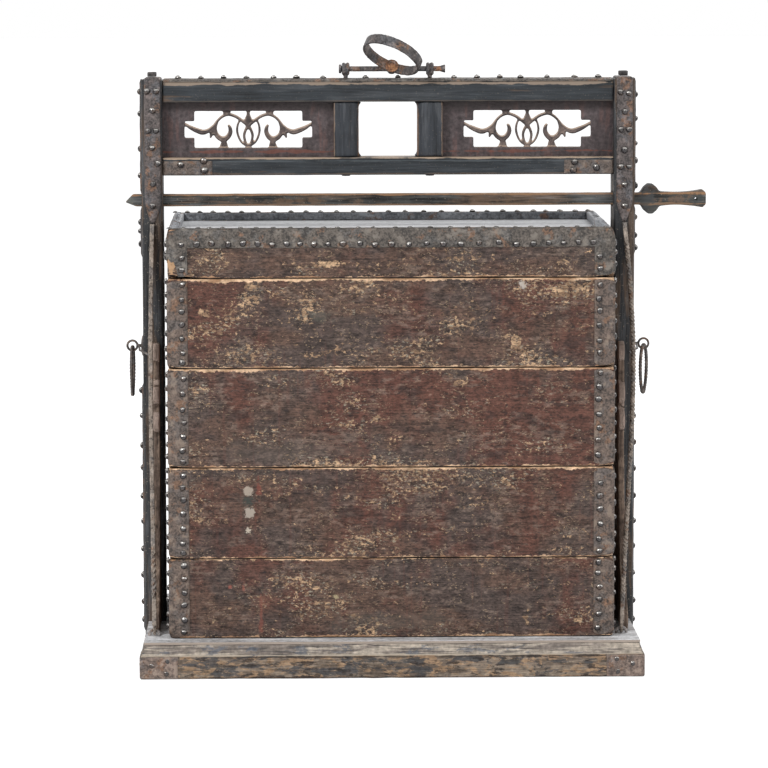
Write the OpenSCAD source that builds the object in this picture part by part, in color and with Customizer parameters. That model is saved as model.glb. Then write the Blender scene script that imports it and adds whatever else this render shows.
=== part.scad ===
/* [Base] */
// Width of the base over its end rails
base_w = 878; // [860:1:940]
// Depth of the base over its front and back rails
base_d = 500; // [480:1:560]
// Height of the upright face of the base rails
fascia_h = 40; // [34:1:60]
// Height of the sloping face above the upright one
slope_h = 20; // [12:1:30]
// How far the sloping face leans in
slope_in = 7; // [3:1:10]
// Thickness of the base rails
base_rail_t = 32; // [26:1:36]
// Thickness of the deck boards
deck_t = 12; // [8:1:16]
// Thickness of the deck lip that lies over the rails
deck_lip = 4; // [3:0.5:6]
// Width of the rail rebate's seat, from the outer face
deck_seat = 18; // [14:1:22]
// Width of the middle bearer
bearer_w = 60; // [40:1:80]

/* [Posts] */
// Width of a post, seen from the front
post_w = 38; // [34:1:44]
// Depth of a post, front to back
post_d = 76; // [66:1:86]
// Height at which a post's foot starts inside the end rail
post_foot = 24; // [12:1:30]
// Chamfer on the long edges of a post
post_chamfer = 3; // [1:0.5:5]

/* [Rails and window] */
// Depth of the top rail and the lower rail
rail_d = 60; // [50:1:64]
// Height of the top rail
top_rail_h = 40; // [34:1:46]
// How much the top rail's crown rises over its edges
crown = 13; // [4:1:14]
// How far the top rail's crown lies under the post tops
crown_drop = 1; // [0:0.5:5]
// Height of the lower rail
low_rail_h = 32; // [26:1:40]
// Clear height between the two rails
window_h = 98; // [90:1:106]
// Clear width of the pole window
window_w = 104; // [90:1:120]
// Width of a stile beside the pole window
stile_w = 45; // [38:1:52]
// Depth of a stile
stile_d = 52; // [46:1:58]
// Radius in the corners of the pole window
window_r = 10; // [6:1:14]
// Worn bevel along the stiles' window edges
reveal = 8; // [4:1:10]
// Radius of the bead along the lower rail's top edges
bead_r = 2.5; // [2:0.5:3]
// Length of the rails' tenons
tenon_l = 24; // [16:1:30]
// Thickness of the rails' tenons
tenon_t = 16; // [12:1:22]

/* [Carved panels] */
// Thickness of the carved panels
panel_t = 12; // [9:1:16]
// Thickness of the scrollwork in a panel
scroll_t = 8; // [5:1:9]
// How deep a panel's edge sits in its groove
groove = 5; // [3:1:7]
// Half width of the panel opening
open_x = 96; // [94:1:100]
// Half height of the panel opening
open_z = 32.5; // [32:0.5:34]
// Half width of the opening at its side notches
notch_x = 113.5; // [112:0.5:116]
// Half height of the side notches
notch_z = 14.5; // [13:0.5:16]

/* [Box] */
// Gap between the trays' wood and the posts
box_gap = 13; // [8:0.5:20]
// How far the trays' wood lies behind the base's front, and before its back
box_in = 42; // [36:1:52]
// Height of each tray, from the bottom one up
tray_h = [140, 160, 174, 157];
// Thickness of the trays' boards
board_t = 12; // [10:1:16]
// Thickness of a tray's bottom board
bottom_t = 8; // [6:1:10]
// Height of the bottom board over the tray's lower edge
bottom_up = 10; // [9:1:14]
// Height of the tongue on a tray's end boards
tongue_h = 3; // [2:0.5:3.5]
// Thickness of that tongue
tongue_t = 6; // [4:1:8]
// Clearance round a tongue and under each tray
stack_gap = 0.3; // [0.2:0.05:0.6]
// Bevel on the boards' outer edges, which makes the seams
seam = 2.5; // [1.5:0.5:3.5]

/* [Lid] */
// Height of the lid's boards
lid_h = 86; // [78:1:92]
// Thickness of the lid's boards
lid_t = 16; // [14:1:20]
// How deep the top board lies below the rim
lid_sink = 13; // [9:1:16]
// Thickness of the lid's top board
lid_board_t = 10; // [8:1:12]

/* [Lock bar] */
// Height of the bar
bar_h = 22; // [18:1:26]
// Depth of the bar, front to back
bar_d = 26; // [22:1:32]
// Gap between the lid's rim and the bar
bar_up = 27; // [22:1:40]
// Gap between the bar and the lower rail
rail_up = 34; // [28:1:50]
// Clearance round the bar in the posts' mortises
bar_gap = 1; // [0.6:0.1:1.5]
// How far the spear tip stands out of the left post
tip_out = 27; // [24:1:46]
// Length of the spear tip's point
tip_l = 20; // [16:1:24]
// Length of the handle outside the right post
handle_l = 126; // [110:1:150]
// Height of the handle's stop
stop_h = 55; // [46:1:64]
// Width of the handle's stop
stop_w = 36; // [30:1:42]
// Height of the handle's end
tail_h = 33; // [28:1:38]
// Radius of the hole in the handle
tail_hole_r = 2.75; // [2:0.25:4]

/* [Brackets] */
// Thickness of a standing bracket
bracket_t = 12; // [8:1:16]
// Height of a standing bracket
bracket_h = 504; // [470:1:520]
// Gap between its foot and the middle of the stay's staple
bracket_gap = 22; // [18:1:34]
// How far its middle part stands out from the post
bracket_waist = 22; // [18:1:26]
// How far the brackets stand inside the middle of the posts
bracket_in = 6; // [0:0.5:8]
// Radius of its lobes
lobe_r = 19; // [17:0.5:21]

/* [Iron] */
// Thickness of the post straps
strap_t = 4; // [3:0.5:5]
// Width of the post straps
strap_w = 32; // [26:1:34]
// Length of the post straps below the post tops
strap_l = 256; // [240:1:270]
// Length of a strap's taper
strap_taper = 20; // [18:1:34]
// How far the upper side straps reach below the lock bar's middle
side_strap_l = 100; // [80:1:120]
// Gap between the lower side straps and the dome plates
foot_strap_gap = 48; // [30:1:70]
// Thickness of the irons on the trays, the lid and the rails
sheet_t = 2; // [1.5:0.25:2.5]
// Width of the corner irons
corner_w = 35; // [28:1:40]
// Height of the lid's edge irons
lid_iron_h = 33; // [26:1:40]
// Thickness of the strip on the top rail
strip_t = 3; // [2:0.5:4]
// Width of the strip on the top rail
strip_w = 40; // [30:1:44]
// Length of the flat irons on the lower rail's ends
angle_l = 88; // [70:1:100]
// Width of the base corner plates on the front
plate_l = 66; // [50:1:80]
// Width and height of the square pins on the post tops
pin_size = [17, 9];

/* [Stays] */
// Thickness of the square stays
stay_t = 8; // [6:0.5:9]
// Length of bar in one full twist
twist_pitch = 26; // [22:1:36]
// Distance of the stays' feet behind the base's front edge
stay_foot_in = 74; // [60:1:78]
// How far the left stays' feet lie inside the middle of the post
foot_left_in = 4; // [0:0.5:10]
// How far the right stays' feet lie inside the middle of the post
foot_right_in = 15; // [5:0.5:16]
// How far the right stays bow outwards
stay_bow = 16; // [8:0.5:18]
// Bow of the left stays
stay_bow_left = 4; // [0:0.5:8]
// Radius of the wire in the deck staples and hooks
staple_r = 3; // [2.5:0.25:3.25]

/* [Rings] */
// Outer diameter of the drop rings
drop_ring_d = 92; // [80:1:96]
// Radius of the drop rings' iron
drop_ring_r = 3.5; // [3:0.25:4]
// Middle radius of the eyes that hold the drop rings
eye_ring_r = 9; // [8.5:0.25:11]
// Radius of the eyes' wire
eye_wire_r = 2.2; // [1.8:0.1:2.4]
// How far these eyes lie below the top of the brackets
eye_drop = 10; // [0:1:20]
// How far these eyes' middle lies outside the post
eye_out = 20; // [18:1:32]
// Radius of the dome plates behind them
dome_r = 20; // [16:1:24]
// Angle by which the right drop ring is turned, seen from above
right_ring_angle = 13; // [0:1:15]

/* [Hanger] */
// Outer diameter of the carrying ring
ring_d = 108; // [100:1:116]
// Thickness of the carrying ring's band
ring_t = 5; // [4:0.5:6]
// Width of the carrying ring's band
ring_w = 19; // [15:1:22]
// Lean of the swivel pin towards the front, from upright
ring_lean = 64; // [40:1:65]
// Swivel of the ring on its pin
ring_swivel = -23; // [-23:1:23]
// Radius of the hanger rod
rod_r = 5; // [4:0.25:5.5]
// Height of the rod's axis over the post tops
rod_up = 17; // [16:1:25]
// Distance of each eye bolt from the middle
bolt_x = 75; // [70:1:80]
// Outer radius of the bolts' eyes
bolt_eye_r = 11.5; // [10:0.5:13]
// Length of the bolts' eyes along the rod
bolt_eye_l = 14; // [10:1:16]
// Radius of the bolts' shanks
bolt_r = 4; // [3:0.25:5]
// Radius of the swivel pin
pin_r = 4; // [3:0.25:5]
// How far the swivel pin stands to the right of the middle
pin_x = 7; // [0:0.5:8]
// Running clearance of the rod and the swivel pin
turn_gap = 0.08; // [0.05:0.01:0.1]

/* [Hidden] */
$fn = 48;

lacquer = "#4a332b";
dark_lacquer = "#2b2d31";
old_wood = "#8a7462";
worn_wood = "#6d5a4c";
dark_iron = "#4b4543";
rust = "#7a5236";
eps = 0.01;
far = 2000;

// Heights and places that follow from the sizes above
deck_z = fascia_h + slope_h + deck_lip;
rail_x = base_w / 2 - post_w;
post_x = base_w / 2 - post_w / 2;
function tray_z(i) = i == 0 ? deck_z : tray_z(i - 1) + tray_h[i - 1];
lid_z = tray_z(len(tray_h));
lid_top = lid_z + stack_gap + lid_h;
bar_z = lid_z + lid_h + bar_up + bar_h / 2;
low_rail_z = bar_z + bar_h / 2 + rail_up;
window_z = low_rail_z + low_rail_h;
top_rail_z = window_z + window_h;
crown_z = top_rail_z + top_rail_h;
post_top = crown_z + crown_drop;
rod_z = post_top + rod_up;
strap_point_z = post_top - strap_l;
side_strap_z = bar_z - side_strap_l;
stile_x = window_w / 2;
bay_x = stile_x + stile_w;
bay_l = rail_x - bay_x;
panel_x = bay_x + bay_l / 2;
panel_z = window_z + window_h / 2;
crown_r = (rail_d * rail_d / 4 + crown * crown) / (2 * crown);
side_x = base_w / 2 + strap_t;
box_w = 2 * (rail_x - box_gap);
box_d = base_d - 2 * box_in;
stay_foot_y = base_d / 2 - stay_foot_in;
bracket_foot = stay_foot_y - bracket_gap - post_d / 2;
stay_foot_left = post_x - foot_left_in;
stay_foot_right = post_x - foot_right_in;
eye_z = deck_z + bracket_h - eye_drop;
foot_strap_top = eye_z - dome_r - foot_strap_gap;
ring_r = ring_d / 2;
ring_far = rod_r + stack_gap + ring_r;
hook_r = staple_r + staple_r + stack_gap + 0.5;
staple_z = deck_z + hook_r + staple_r + 0.5;
staple_half = 9;

// A box given by its two corners
module span(a, b) {
    translate(a) cube(b - a);
}

// The same shape again on the other side of the plane x = 0
module both_sides() {
    children();
    mirror([1, 0, 0]) children();
}

// The same shape again on the other side of the plane y = 0
module front_and_back() {
    children();
    mirror([0, 1, 0]) children();
}

// A round bar from one point to another
module bar_between(a, b, r) {
    v = b - a;
    flat = norm([v[0], v[1]]);
    translate(a)
        rotate([0, atan2(flat, v[2]), atan2(v[1], v[0])])
            cylinder(h = norm(v), r = r);
}

// A profile drawn as [distance in from the outer face, height], laid along x at y = -depth / 2
module along_front(length, depth) {
    translate([-length / 2, -depth / 2, 0])
        rotate([90, 0, 90])
            linear_extrude(length) children();
}

// Base
module base_profile() {
    polygon([
        [0, 0], [0, fascia_h], [slope_in, fascia_h + slope_h], [deck_seat, fascia_h + slope_h],
        [deck_seat, deck_z - deck_t], [base_rail_t, deck_z - deck_t], [base_rail_t, 0]]);
}

// The wedge that a front rail keeps between its two mitres
module mitre(length, depth) {
    linear_extrude(far)
        polygon([[-length / 2, -depth / 2], [length / 2, -depth / 2],
            [length / 2 - base_rail_t, -depth / 2 + base_rail_t],
            [-length / 2 + base_rail_t, -depth / 2 + base_rail_t]]);
}

module base_long_rail() {
    intersection() {
        along_front(base_w, base_d) base_profile();
        mitre(base_w, base_d);
    }
}

module base_end_rail() {
    difference() {
        rotate(90) intersection() {
            along_front(base_d, base_w) base_profile();
            mitre(base_d, base_w);
        }
        post_blank(0);
    }
}

// The space that a post fills, at x > 0
module post_blank(grow) {
    span([rail_x - grow, -post_d / 2 - grow, post_foot], [base_w / 2 + 1, post_d / 2 + grow, far]);
}

module base_rail_front() {
    color(worn_wood) base_long_rail();
}

module base_rail_back() {
    color(worn_wood) mirror([0, 1, 0]) base_long_rail();
}

module base_rail_right() {
    color(worn_wood) base_end_rail();
}

module base_rail_left() {
    color(worn_wood) mirror([1, 0, 0]) base_end_rail();
}

// The bearer crosses the base under the deck and ends at the long rails
module base_bearer() {
    inner = base_d / 2 - base_rail_t;
    color(old_wood) span([-bearer_w / 2, -inner, 0], [bearer_w / 2, inner, deck_z - deck_t]);
}

// Three boards that fill the rebate and lie over the rails with a thin lip
module deck_boards() {
    in_x = base_w / 2 - deck_seat;
    in_y = base_d / 2 - deck_seat;
    lip_x = base_w / 2 - slope_in;
    lip_y = base_d / 2 - slope_in;
    edges = [-lip_y, -post_d / 2 - 40, post_d / 2 + 40, lip_y];
    color(old_wood) for (i = [0:2]) difference() {
        union() {
            span([-in_x, max(-in_y, edges[i]), deck_z - deck_t], [in_x, min(in_y, edges[i + 1]), deck_z]);
            span([-lip_x, edges[i], deck_z - deck_lip], [lip_x, edges[i + 1], deck_z]);
        }
        both_sides() post_blank(0);
    }
}

// Iron plates that wrap the four corners of the base
module base_corner_plates() {
    low = 1.5;
    color(dark_iron) both_sides() front_and_back() difference() {
        span([base_w / 2 - plate_l, -base_d / 2 - sheet_t, low],
            [base_w / 2 + sheet_t, -base_d / 2 + plate_l, fascia_h]);
        span([-far, -base_d / 2, -1], [base_w / 2, far, far]);
    }
}

// Posts
module post() {
    difference() {
        linear_extrude(post_top - post_foot)
            polygon(chamfered(post_w, post_d, post_chamfer));
        // mortise for the lock bar
        span([-far, -bar_d / 2 - bar_gap, bar_z - bar_h / 2 - stack_gap - post_foot],
            [far, bar_d / 2 + bar_gap, bar_z + bar_h / 2 + bar_gap - post_foot]);
    }
}

// Corner points of a rectangle with its corners cut off
function chamfered(w, d, c) = [
    [-w / 2 + c, -d / 2], [w / 2 - c, -d / 2], [w / 2, -d / 2 + c], [w / 2, d / 2 - c],
    [w / 2 - c, d / 2], [-w / 2 + c, d / 2], [-w / 2, d / 2 - c], [-w / 2, -d / 2 + c]];

module post_right_shape() {
    difference() {
        translate([post_x, 0, post_foot]) post();
        tenon(top_rail_z, crown_z - crown);
        tenon(low_rail_z, window_z);
        panel_blank(panel_x);
        eye_shank(0.05);
    }
}

module post_right() {
    color(dark_lacquer) post_right_shape();
}

module post_left() {
    color(dark_lacquer) mirror([1, 0, 0]) post_right_shape();
}

// A rail's tenon at x > 0, between the heights low and high of the rail
module tenon(low, high) {
    shoulder = 6;
    span([rail_x - 1, -tenon_t / 2, low + shoulder], [rail_x + tenon_l, tenon_t / 2, high - shoulder]);
}

// Rails, stiles and panels
module rail_bar(z, h) {
    span([-rail_x, -rail_d / 2, z], [rail_x, rail_d / 2, z + h]);
}

// The arched section of the top rail, raised by lift and as wide as w
module crown_section(lift, w) {
    intersection() {
        translate([0, crown_z - crown_r]) circle(r = crown_r + lift, $fn = 180);
        translate([-w / 2, top_rail_z]) square([w, top_rail_h + 20]);
    }
}

module along_x(half) {
    translate([-half, 0, 0]) rotate([90, 0, 90]) linear_extrude(2 * half) children();
}

module top_rail() {
    color(dark_lacquer) difference() {
        union() {
            along_x(rail_x) crown_section(0, rail_d);
            both_sides() tenon(top_rail_z, crown_z - crown);
        }
        both_sides() panel_blank(panel_x);
        bolt_holes();
    }
}

module lower_rail() {
    color(dark_lacquer) difference() {
        union() {
            rail_bar(low_rail_z, low_rail_h);
            both_sides() tenon(low_rail_z, window_z);
            front_and_back() translate([-rail_x, -rail_d / 2, window_z - bead_r])
                rotate([0, 90, 0]) cylinder(h = 2 * rail_x, r = bead_r);
        }
        both_sides() panel_blank(panel_x);
        bolt_holes();
    }
}

// A stile with bevelled window edges and rounded window corners
module stile() {
    difference() {
        union() {
            translate([0, 0, window_z]) linear_extrude(window_h)
                polygon([[stile_x, -stile_d / 2 + reveal], [stile_x + reveal, -stile_d / 2],
                    [bay_x, -stile_d / 2], [bay_x, stile_d / 2],
                    [stile_x + reveal, stile_d / 2], [stile_x, stile_d / 2 - reveal]]);
            for (top = [0, 1])
                translate([stile_x + eps, stile_d / 2 - reveal, window_z + top * window_h])
                    mirror([0, 0, top]) rotate([90, 0, 0])
                        linear_extrude(stile_d - 2 * reveal) corner_fillet();
        }
        panel_blank(panel_x);
    }
}

// The hollow fillet in a corner of the window
module corner_fillet() {
    difference() {
        translate([-window_r, 0]) square(window_r);
        translate([-window_r, window_r]) circle(r = window_r);
    }
}

module window_stiles() {
    color(dark_lacquer) both_sides() difference() {
        stile();
        bolt_holes();
    }
}

// The whole block of a carved panel, with the edges that sit in grooves
module panel_blank(x) {
    span([x - bay_l / 2 - groove, -panel_t / 2, window_z - groove],
        [x + bay_l / 2 + groove, panel_t / 2, window_z + window_h + groove]);
}

// A smooth curve through p, as k points for each stretch
function smooth(p, k) = [
    for (i = [0:len(p) - 2]) let (
        a = p[max(i - 1, 0)], b = p[i], c = p[i + 1], d = p[min(i + 2, len(p) - 1)])
    for (j = [0:k - (i == len(p) - 2 ? 0 : 1)]) let (t = j / k)
        0.5 * (2 * b + (c - a) * t + (2 * a - 5 * b + 4 * c - d) * t * t
            + (3 * b - a - 3 * c + d) * t * t * t)];

// The direction square to a curve at point i
function side(p, i) = let (
    v = p[min(i + 1, len(p) - 1)] - p[max(i - 1, 0)]) [-v[1], v[0]] / norm(v);

// Points that are given for an opening of 192 by 65, fitted to the real one
function fitted(points) = [for (p = points) [p[0] * open_x / 96, p[1] * open_z / 32.5]];

// A carved stroke along a curve, w wide in its middle and thinner at its ends
module stroke(points, w, thin) {
    p = smooth(fitted(points), 6);
    n = len(p) - 1;
    half = [for (i = [0:n]) w / 2 * open_z / 32.5 * (thin + (1 - thin) * sin(180 * i / n))];
    polygon(concat(
        [for (i = [0:n]) p[i] + side(p, i) * half[i]],
        [for (i = [n:-1:0]) p[i] - side(p, i) * half[i]]));
}

// Left half of the scrollwork, measured from the middle of the panel
module scroll_half() {
    // leaf, the tendril that crosses over the middle, its curl and its spur
    stroke([[-114, 11], [-104, 4], [-91, -2], [-80, -5], [-70, -1], [-62, 7]], 10, 0.35);
    stroke([[-72, -2], [-63, 5], [-54, 16], [-46, 23], [-36, 26.5], [-25, 24], [-16, 19], [-7, 12],
        [1, 5], [5.5, -3], [7.5, -12], [5, -23], [0, -30]], 6, 0.7);
    stroke([[-55, 14], [-59, 3], [-58, -7], [-53, -14], [-45, -17.5], [-37, -14], [-32, -5],
        [-33, 4], [-36, 8]], 10, 0.4);
    stroke([[-62, 2], [-65, -6], [-68, -16]], 6.5, 0.35);
    // left side of the oval
    stroke([[-14, 18], [-18.5, 9], [-20, -2], [-17.5, -13], [-12, -23], [-3, -30]], 4.5, 0.8);
    // foot, hanger and half of the pendant
    polygon(fitted([[-53, -34], [-35.5, -34], [-37.5, -24.5], [-41, -16], [-46, -16], [-49, -24.5]]));
    polygon(fitted([[-46, 34], [-31, 34], [-33, 26], [-44, 25]]));
    polygon(fitted([[-3.5, 34], [0.01, 34], [0.01, 4], [-8, 16], [-3, 27]]));
}

// Openwork panel in the plane y = 0, with its middle at the origin
module carved_panel() {
    half_l = bay_l / 2 + groove;
    half_h = window_h / 2 + groove;
    rotate([90, 0, 0]) {
        translate([0, 0, -panel_t / 2]) linear_extrude(panel_t) difference() {
            square([2 * half_l, 2 * half_h], center = true);
            square([2 * open_x, 2 * open_z], center = true);
            square([2 * notch_x, 2 * notch_z], center = true);
        }
        translate([0, 0, -scroll_t / 2]) linear_extrude(scroll_t) {
            scroll_half();
            mirror([1, 0]) scroll_half();
        }
    }
}

module panel_left() {
    color(lacquer) translate([-panel_x, 0, panel_z]) carved_panel();
}

module panel_right() {
    color(lacquer) translate([panel_x, 0, panel_z]) carved_panel();
}

// Iron strip bent over the top rail's crown
module rail_strip() {
    color(dark_iron) difference() {
        along_x(rail_x) difference() {
            crown_section(strip_t, strip_w);
            translate([0, crown_z - crown_r]) circle(r = crown_r, $fn = 180);
        }
        bolt_holes();
    }
}

// Flat irons on the front and back of the lower rail, at both ends
module rail_irons() {
    color(dark_iron) both_sides() front_and_back()
        span([rail_x - angle_l, -rail_d / 2 - sheet_t, low_rail_z + 1],
            [rail_x, -rail_d / 2, window_z - 2 * bead_r - 0.5]);
}

// Standing brackets
// Side outline as [distance out from the post, height above the deck]
module bracket_outline() {
    h = bracket_h;
    w = bracket_waist;
    r = lobe_r;
    out = bracket_foot - w;
    rise = h - 11 * r;
    // share of the way out and up, along the long sweep
    sweep = [for (q = [[1, 0.09], [0.75, 0.18], [0.47, 0.36], [0.28, 0.58], [0.14, 0.8], [0.04, 1]])
        [w + out * q[0], rise * q[1]]];
    difference() {
        union() {
            polygon(concat([[0, 0], [bracket_foot - r / 3, 0], [bracket_foot, r / 2]], smooth(sweep, 5),
                [[w, rise + r / 4], [w, h - 1.5 * r], [0, h - r / 2]]));
            translate([w, h - 7.4 * r]) circle(r = r);
            translate([w, h - 4.8 * r]) circle(r = r);
            translate([w / 2, h - r]) circle(r = r);
            translate([bracket_foot - 0.9 * r, 0.8 * r]) circle(r = 0.8 * r);
        }
        translate([w + r, h - 2.8 * r]) circle(r = r);
        translate([w + r, h - 9.6 * r]) circle(r = r);
        translate([bracket_foot - 1.25 * r, 3.2 * r]) circle(r = r / 2);
        translate([-3 * r, -r]) square([3 * r, h + 2 * r]);
    }
}

// The bracket in front of the right post
module bracket() {
    translate([post_x - bracket_in - bracket_t / 2, -post_d / 2, deck_z])
        rotate([90, 0, 90]) linear_extrude(bracket_t) mirror([1, 0]) bracket_outline();
}

module bracket_front_right() {
    color(worn_wood) bracket();
}

module bracket_front_left() {
    color(worn_wood) mirror([1, 0, 0]) bracket();
}

module bracket_back_right() {
    color(worn_wood) mirror([0, 1, 0]) bracket();
}

module bracket_back_left() {
    color(worn_wood) mirror([0, 1, 0]) mirror([1, 0, 0]) bracket();
}

// Irons on the posts
// One strap that goes up the front, over the top and down the back
module post_strap() {
    out = post_d / 2 + strap_t;
    w = strap_w / 2;
    tip = stay_t / 2;
    color(dark_iron) translate([post_x, 0, 0]) difference() {
        rotate([90, 0, 0]) translate([0, 0, -out]) linear_extrude(2 * out)
            polygon([[-tip, strap_point_z], [tip, strap_point_z], [w, strap_point_z + strap_taper],
                [w, post_top + strap_t], [-w, post_top + strap_t], [-w, strap_point_z + strap_taper]]);
        span([-far, -post_d / 2, 0], [far, post_d / 2, post_top]);
    }
}

module post_strap_right() {
    post_strap();
}

module post_strap_left() {
    mirror([1, 0, 0]) post_strap();
}

// Straps on the outer faces of the posts, split where the lock bar passes
module side_straps() {
    w = strap_w / 2;
    x = base_w / 2;
    color(dark_iron) both_sides() difference() {
        span([x, -w, side_strap_z], [x + strap_t, w, post_top]);
        span([0, -bar_d / 2 - bar_gap, bar_z - bar_h / 2 - stack_gap],
            [far, bar_d / 2 + bar_gap, bar_z + bar_h / 2 + bar_gap]);
    }
}

module foot_straps() {
    x = base_w / 2;
    color(dark_iron) both_sides()
        span([x, -strap_w / 2, fascia_h + 4], [x + strap_t, strap_w / 2, foot_strap_top]);
}

// Square heads of the pins that hold the straps on the post tops
module post_pins() {
    w = pin_size[0] / 2;
    z = post_top + strap_t;
    color(dark_iron) both_sides() translate([post_x, 0, z])
        linear_extrude(pin_size[1]) polygon(chamfered(2 * w, 2 * w, 2));
}

// Stays
// Middle of a stay, s = 0 at the strap and s = 1 at its lower end
function stay_x(s, foot, bow) =
    post_x + (foot - post_x) * s + bow * (sin(180 * s) + sin(360 * s) / 4);
stay_top_y = post_d / 2 + stay_t / 2;
stay_low = staple_z + 3 * staple_r;
function stay_y(s) = -stay_top_y - (stay_foot_y + hook_r - stay_top_y) * s;
function stay_z(s) = strap_point_z + (stay_low - strap_point_z) * s;

// Turn of the square section at s, for a bar twisted between s0 and s1
function stay_turn(s, s0, s1) =
    floor(abs(strap_point_z - stay_low) * (s1 - s0) / twist_pitch) * 360
    * min(max((s - s0) / (s1 - s0), 0), 1);

// A square bar drawn through level sections, twisted between s0 and s1
module square_bar(foot, bow, s0, s1) {
    twisted = round(abs(strap_point_z - stay_low) * (s1 - s0) / twist_pitch * 12);
    s = concat([for (i = [0:5]) s0 * i / 6],
        [for (i = [0:twisted]) s0 + (s1 - s0) * i / twisted],
        [for (i = [1:6]) s1 + (1 - s1) * i / 6]);
    n = len(s);
    half = stay_t / sqrt(2);
    points = [for (i = [0:n - 1]) for (c = [45, 135, 225, 315])
        let (a = c + stay_turn(s[i], s0, s1))
        [stay_x(s[i], foot, bow) + half * cos(a), stay_y(s[i]) + half * sin(a), stay_z(s[i])]];
    sides = [for (i = [0:n - 2]) for (j = [0:3]) let (
        a = 4 * i + j, b = 4 * i + (j + 1) % 4) each [[a, b, b + 4], [a, b + 4, a + 4]]];
    last = 4 * (n - 1);
    polyhedron(points, concat(sides, [[2, 1, 0], [3, 2, 0]],
        [[last, last + 1, last + 2], [last, last + 2, last + 3]]));
}

// Hook under a stay that goes round the staple's bridge
module stay_hook(foot) {
    translate([foot, -stay_foot_y, staple_z]) {
        rotate([90, 0, 90]) rotate(-180) rotate_extrude(angle = 250) translate([hook_r, 0]) circle(r = staple_r);
        translate([0, -hook_r, 0]) cylinder(h = stay_low - staple_z + 3, r = staple_r);
    }
}

module stay(foot, bow, s0, s1) {
    color(dark_iron) union() {
        square_bar(foot, bow, s0, s1);
        stay_hook(foot);
    }
}

module stay_front_right() {
    stay(stay_foot_right, stay_bow, 0.05, 0.94);
}

module stay_front_left() {
    mirror([1, 0, 0]) stay(stay_foot_left, stay_bow_left, 0.82, 0.93);
}

module stay_back_right() {
    mirror([0, 1, 0]) stay(stay_foot_right, stay_bow, 0.05, 0.94);
}

module stay_back_left() {
    mirror([0, 1, 0]) mirror([1, 0, 0]) stay(stay_foot_left, stay_bow_left, 0.82, 0.93);
}

// A staple in the deck, with its bridge along x
module staple(x) {
    translate([x, -stay_foot_y, staple_z - staple_half]) {
        rotate([90, 0, 0]) rotate_extrude(angle = 180) translate([staple_half, 0]) circle(r = staple_r);
        for (leg_x = [-staple_half, staple_half])
            translate([leg_x, 0, 0]) mirror([0, 0, 1])
                cylinder(h = max(staple_z - staple_half - deck_z, 0.5), r = staple_r);
    }
}

module deck_staples() {
    color(rust) front_and_back() {
        staple(stay_foot_right);
        staple(-stay_foot_left);
    }
}

// Drop rings
eye_x = base_w / 2 + eye_out;
drop_mid_r = drop_ring_d / 2 - drop_ring_r;
drop_top_z = eye_z - eye_ring_r + eye_wire_r + drop_ring_r + stack_gap;

// The shank of the eye at x > 0, wider by grow
module eye_shank(grow) {
    translate([base_w / 2 - 14 - grow, 0, eye_z]) rotate([0, 90, 0])
        cylinder(h = eye_out - eye_ring_r + 14 + grow, r = 3 + grow);
}

// Wire eye with a tail that runs round the post's front edge to the stay
module ring_eye() {
    tie_s = (strap_point_z - eye_z + 8) / (strap_point_z - stay_low);
    neck = [base_w / 2 + 8, 0, eye_z - 1];
    corner = [base_w / 2 + 5, -post_d / 2 - 5, eye_z - 4];
    stay_side = [stay_x(tie_s, stay_foot_left, stay_bow_left) + 2.6, stay_y(tie_s) + stay_t / 2 + 2.4, stay_z(tie_s)];
    color(dark_iron) union() {
        translate([eye_x, 0, eye_z]) rotate([90, 0, 0])
            rotate_extrude() translate([eye_ring_r, 0]) circle(r = eye_wire_r);
        eye_shank(0);
        bar_between(neck, corner, 2);
        translate(corner) sphere(r = 2.3);
        bar_between(corner, stay_side, 2);
    }
}

module ring_eye_right() {
    ring_eye();
}

module ring_eye_left() {
    mirror([1, 0, 0]) ring_eye();
}

// Dome plates behind the eyes
module ring_domes() {
    rise = 5;
    color(dark_iron) both_sides() difference() {
        translate([base_w / 2, 0, eye_z]) rotate([0, 90, 0]) rotate_extrude()
            polygon(concat([[0, 0]], [for (a = [0:15:90]) [dome_r * cos(a), rise * sin(a)]]));
        eye_shank(0.05);
        translate([base_w / 2 + 8, 0, eye_z - 1]) rotate([90, 0, 0]) cylinder(h = dome_r + 5, r = 3.2);
    }
}

module drop_ring(turn) {
    translate([eye_x, 0, drop_top_z]) rotate(turn) translate([0, 0, -drop_mid_r])
        rotate([0, 90, 0]) rotate_extrude() translate([drop_mid_r, 0]) circle(r = drop_ring_r);
}

module drop_ring_right() {
    color(dark_iron) drop_ring(-right_ring_angle);
}

module drop_ring_left() {
    color(dark_iron) mirror([1, 0, 0]) drop_ring(0);
}

// Hanger
// Section of a bolt's eye as [radius, place along the rod], with a groove between two collars
function eye_section() = let (l = bolt_eye_l / 2, r = bolt_eye_r, d = bolt_eye_r / 6) [
    [0, -l], [r - d, -l], [r, -l + d], [r, -l + 3 * d], [r - d, -d / 2], [r - d, d / 2], [r, l - 3 * d],
    [r, l - d], [r - d, l], [0, l]];

// The bolts' holes through the strip, the rails and the stiles
module bolt_holes() {
    both_sides() translate([bolt_x, 0, low_rail_z - bolt_r])
        cylinder(h = rod_z - low_rail_z, r = bolt_r + 0.05);
}

module eye_bolts() {
    clench = 3;
    end_z = low_rail_z - clench;
    color(dark_iron) both_sides() difference() {
        union() {
            translate([bolt_x, 0, rod_z]) rotate([0, 90, 0]) rotate_extrude() polygon(eye_section());
            translate([bolt_x, 0, end_z]) cylinder(h = rod_z - rod_r - end_z, r = bolt_r);
            translate([bolt_x, 0, end_z]) cylinder(h = clench, r = bolt_r + 4);
        }
        translate([bolt_x - bolt_eye_l, 0, rod_z]) rotate([0, 90, 0])
            cylinder(h = 2 * bolt_eye_l, r = rod_r + turn_gap);
    }
}

// Puts its children in the frame of the swivel pin, whose axis is then z
module on_pin() {
    translate([pin_x, 0, rod_z]) rotate([ring_lean, 0, 0]) children();
}

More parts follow.
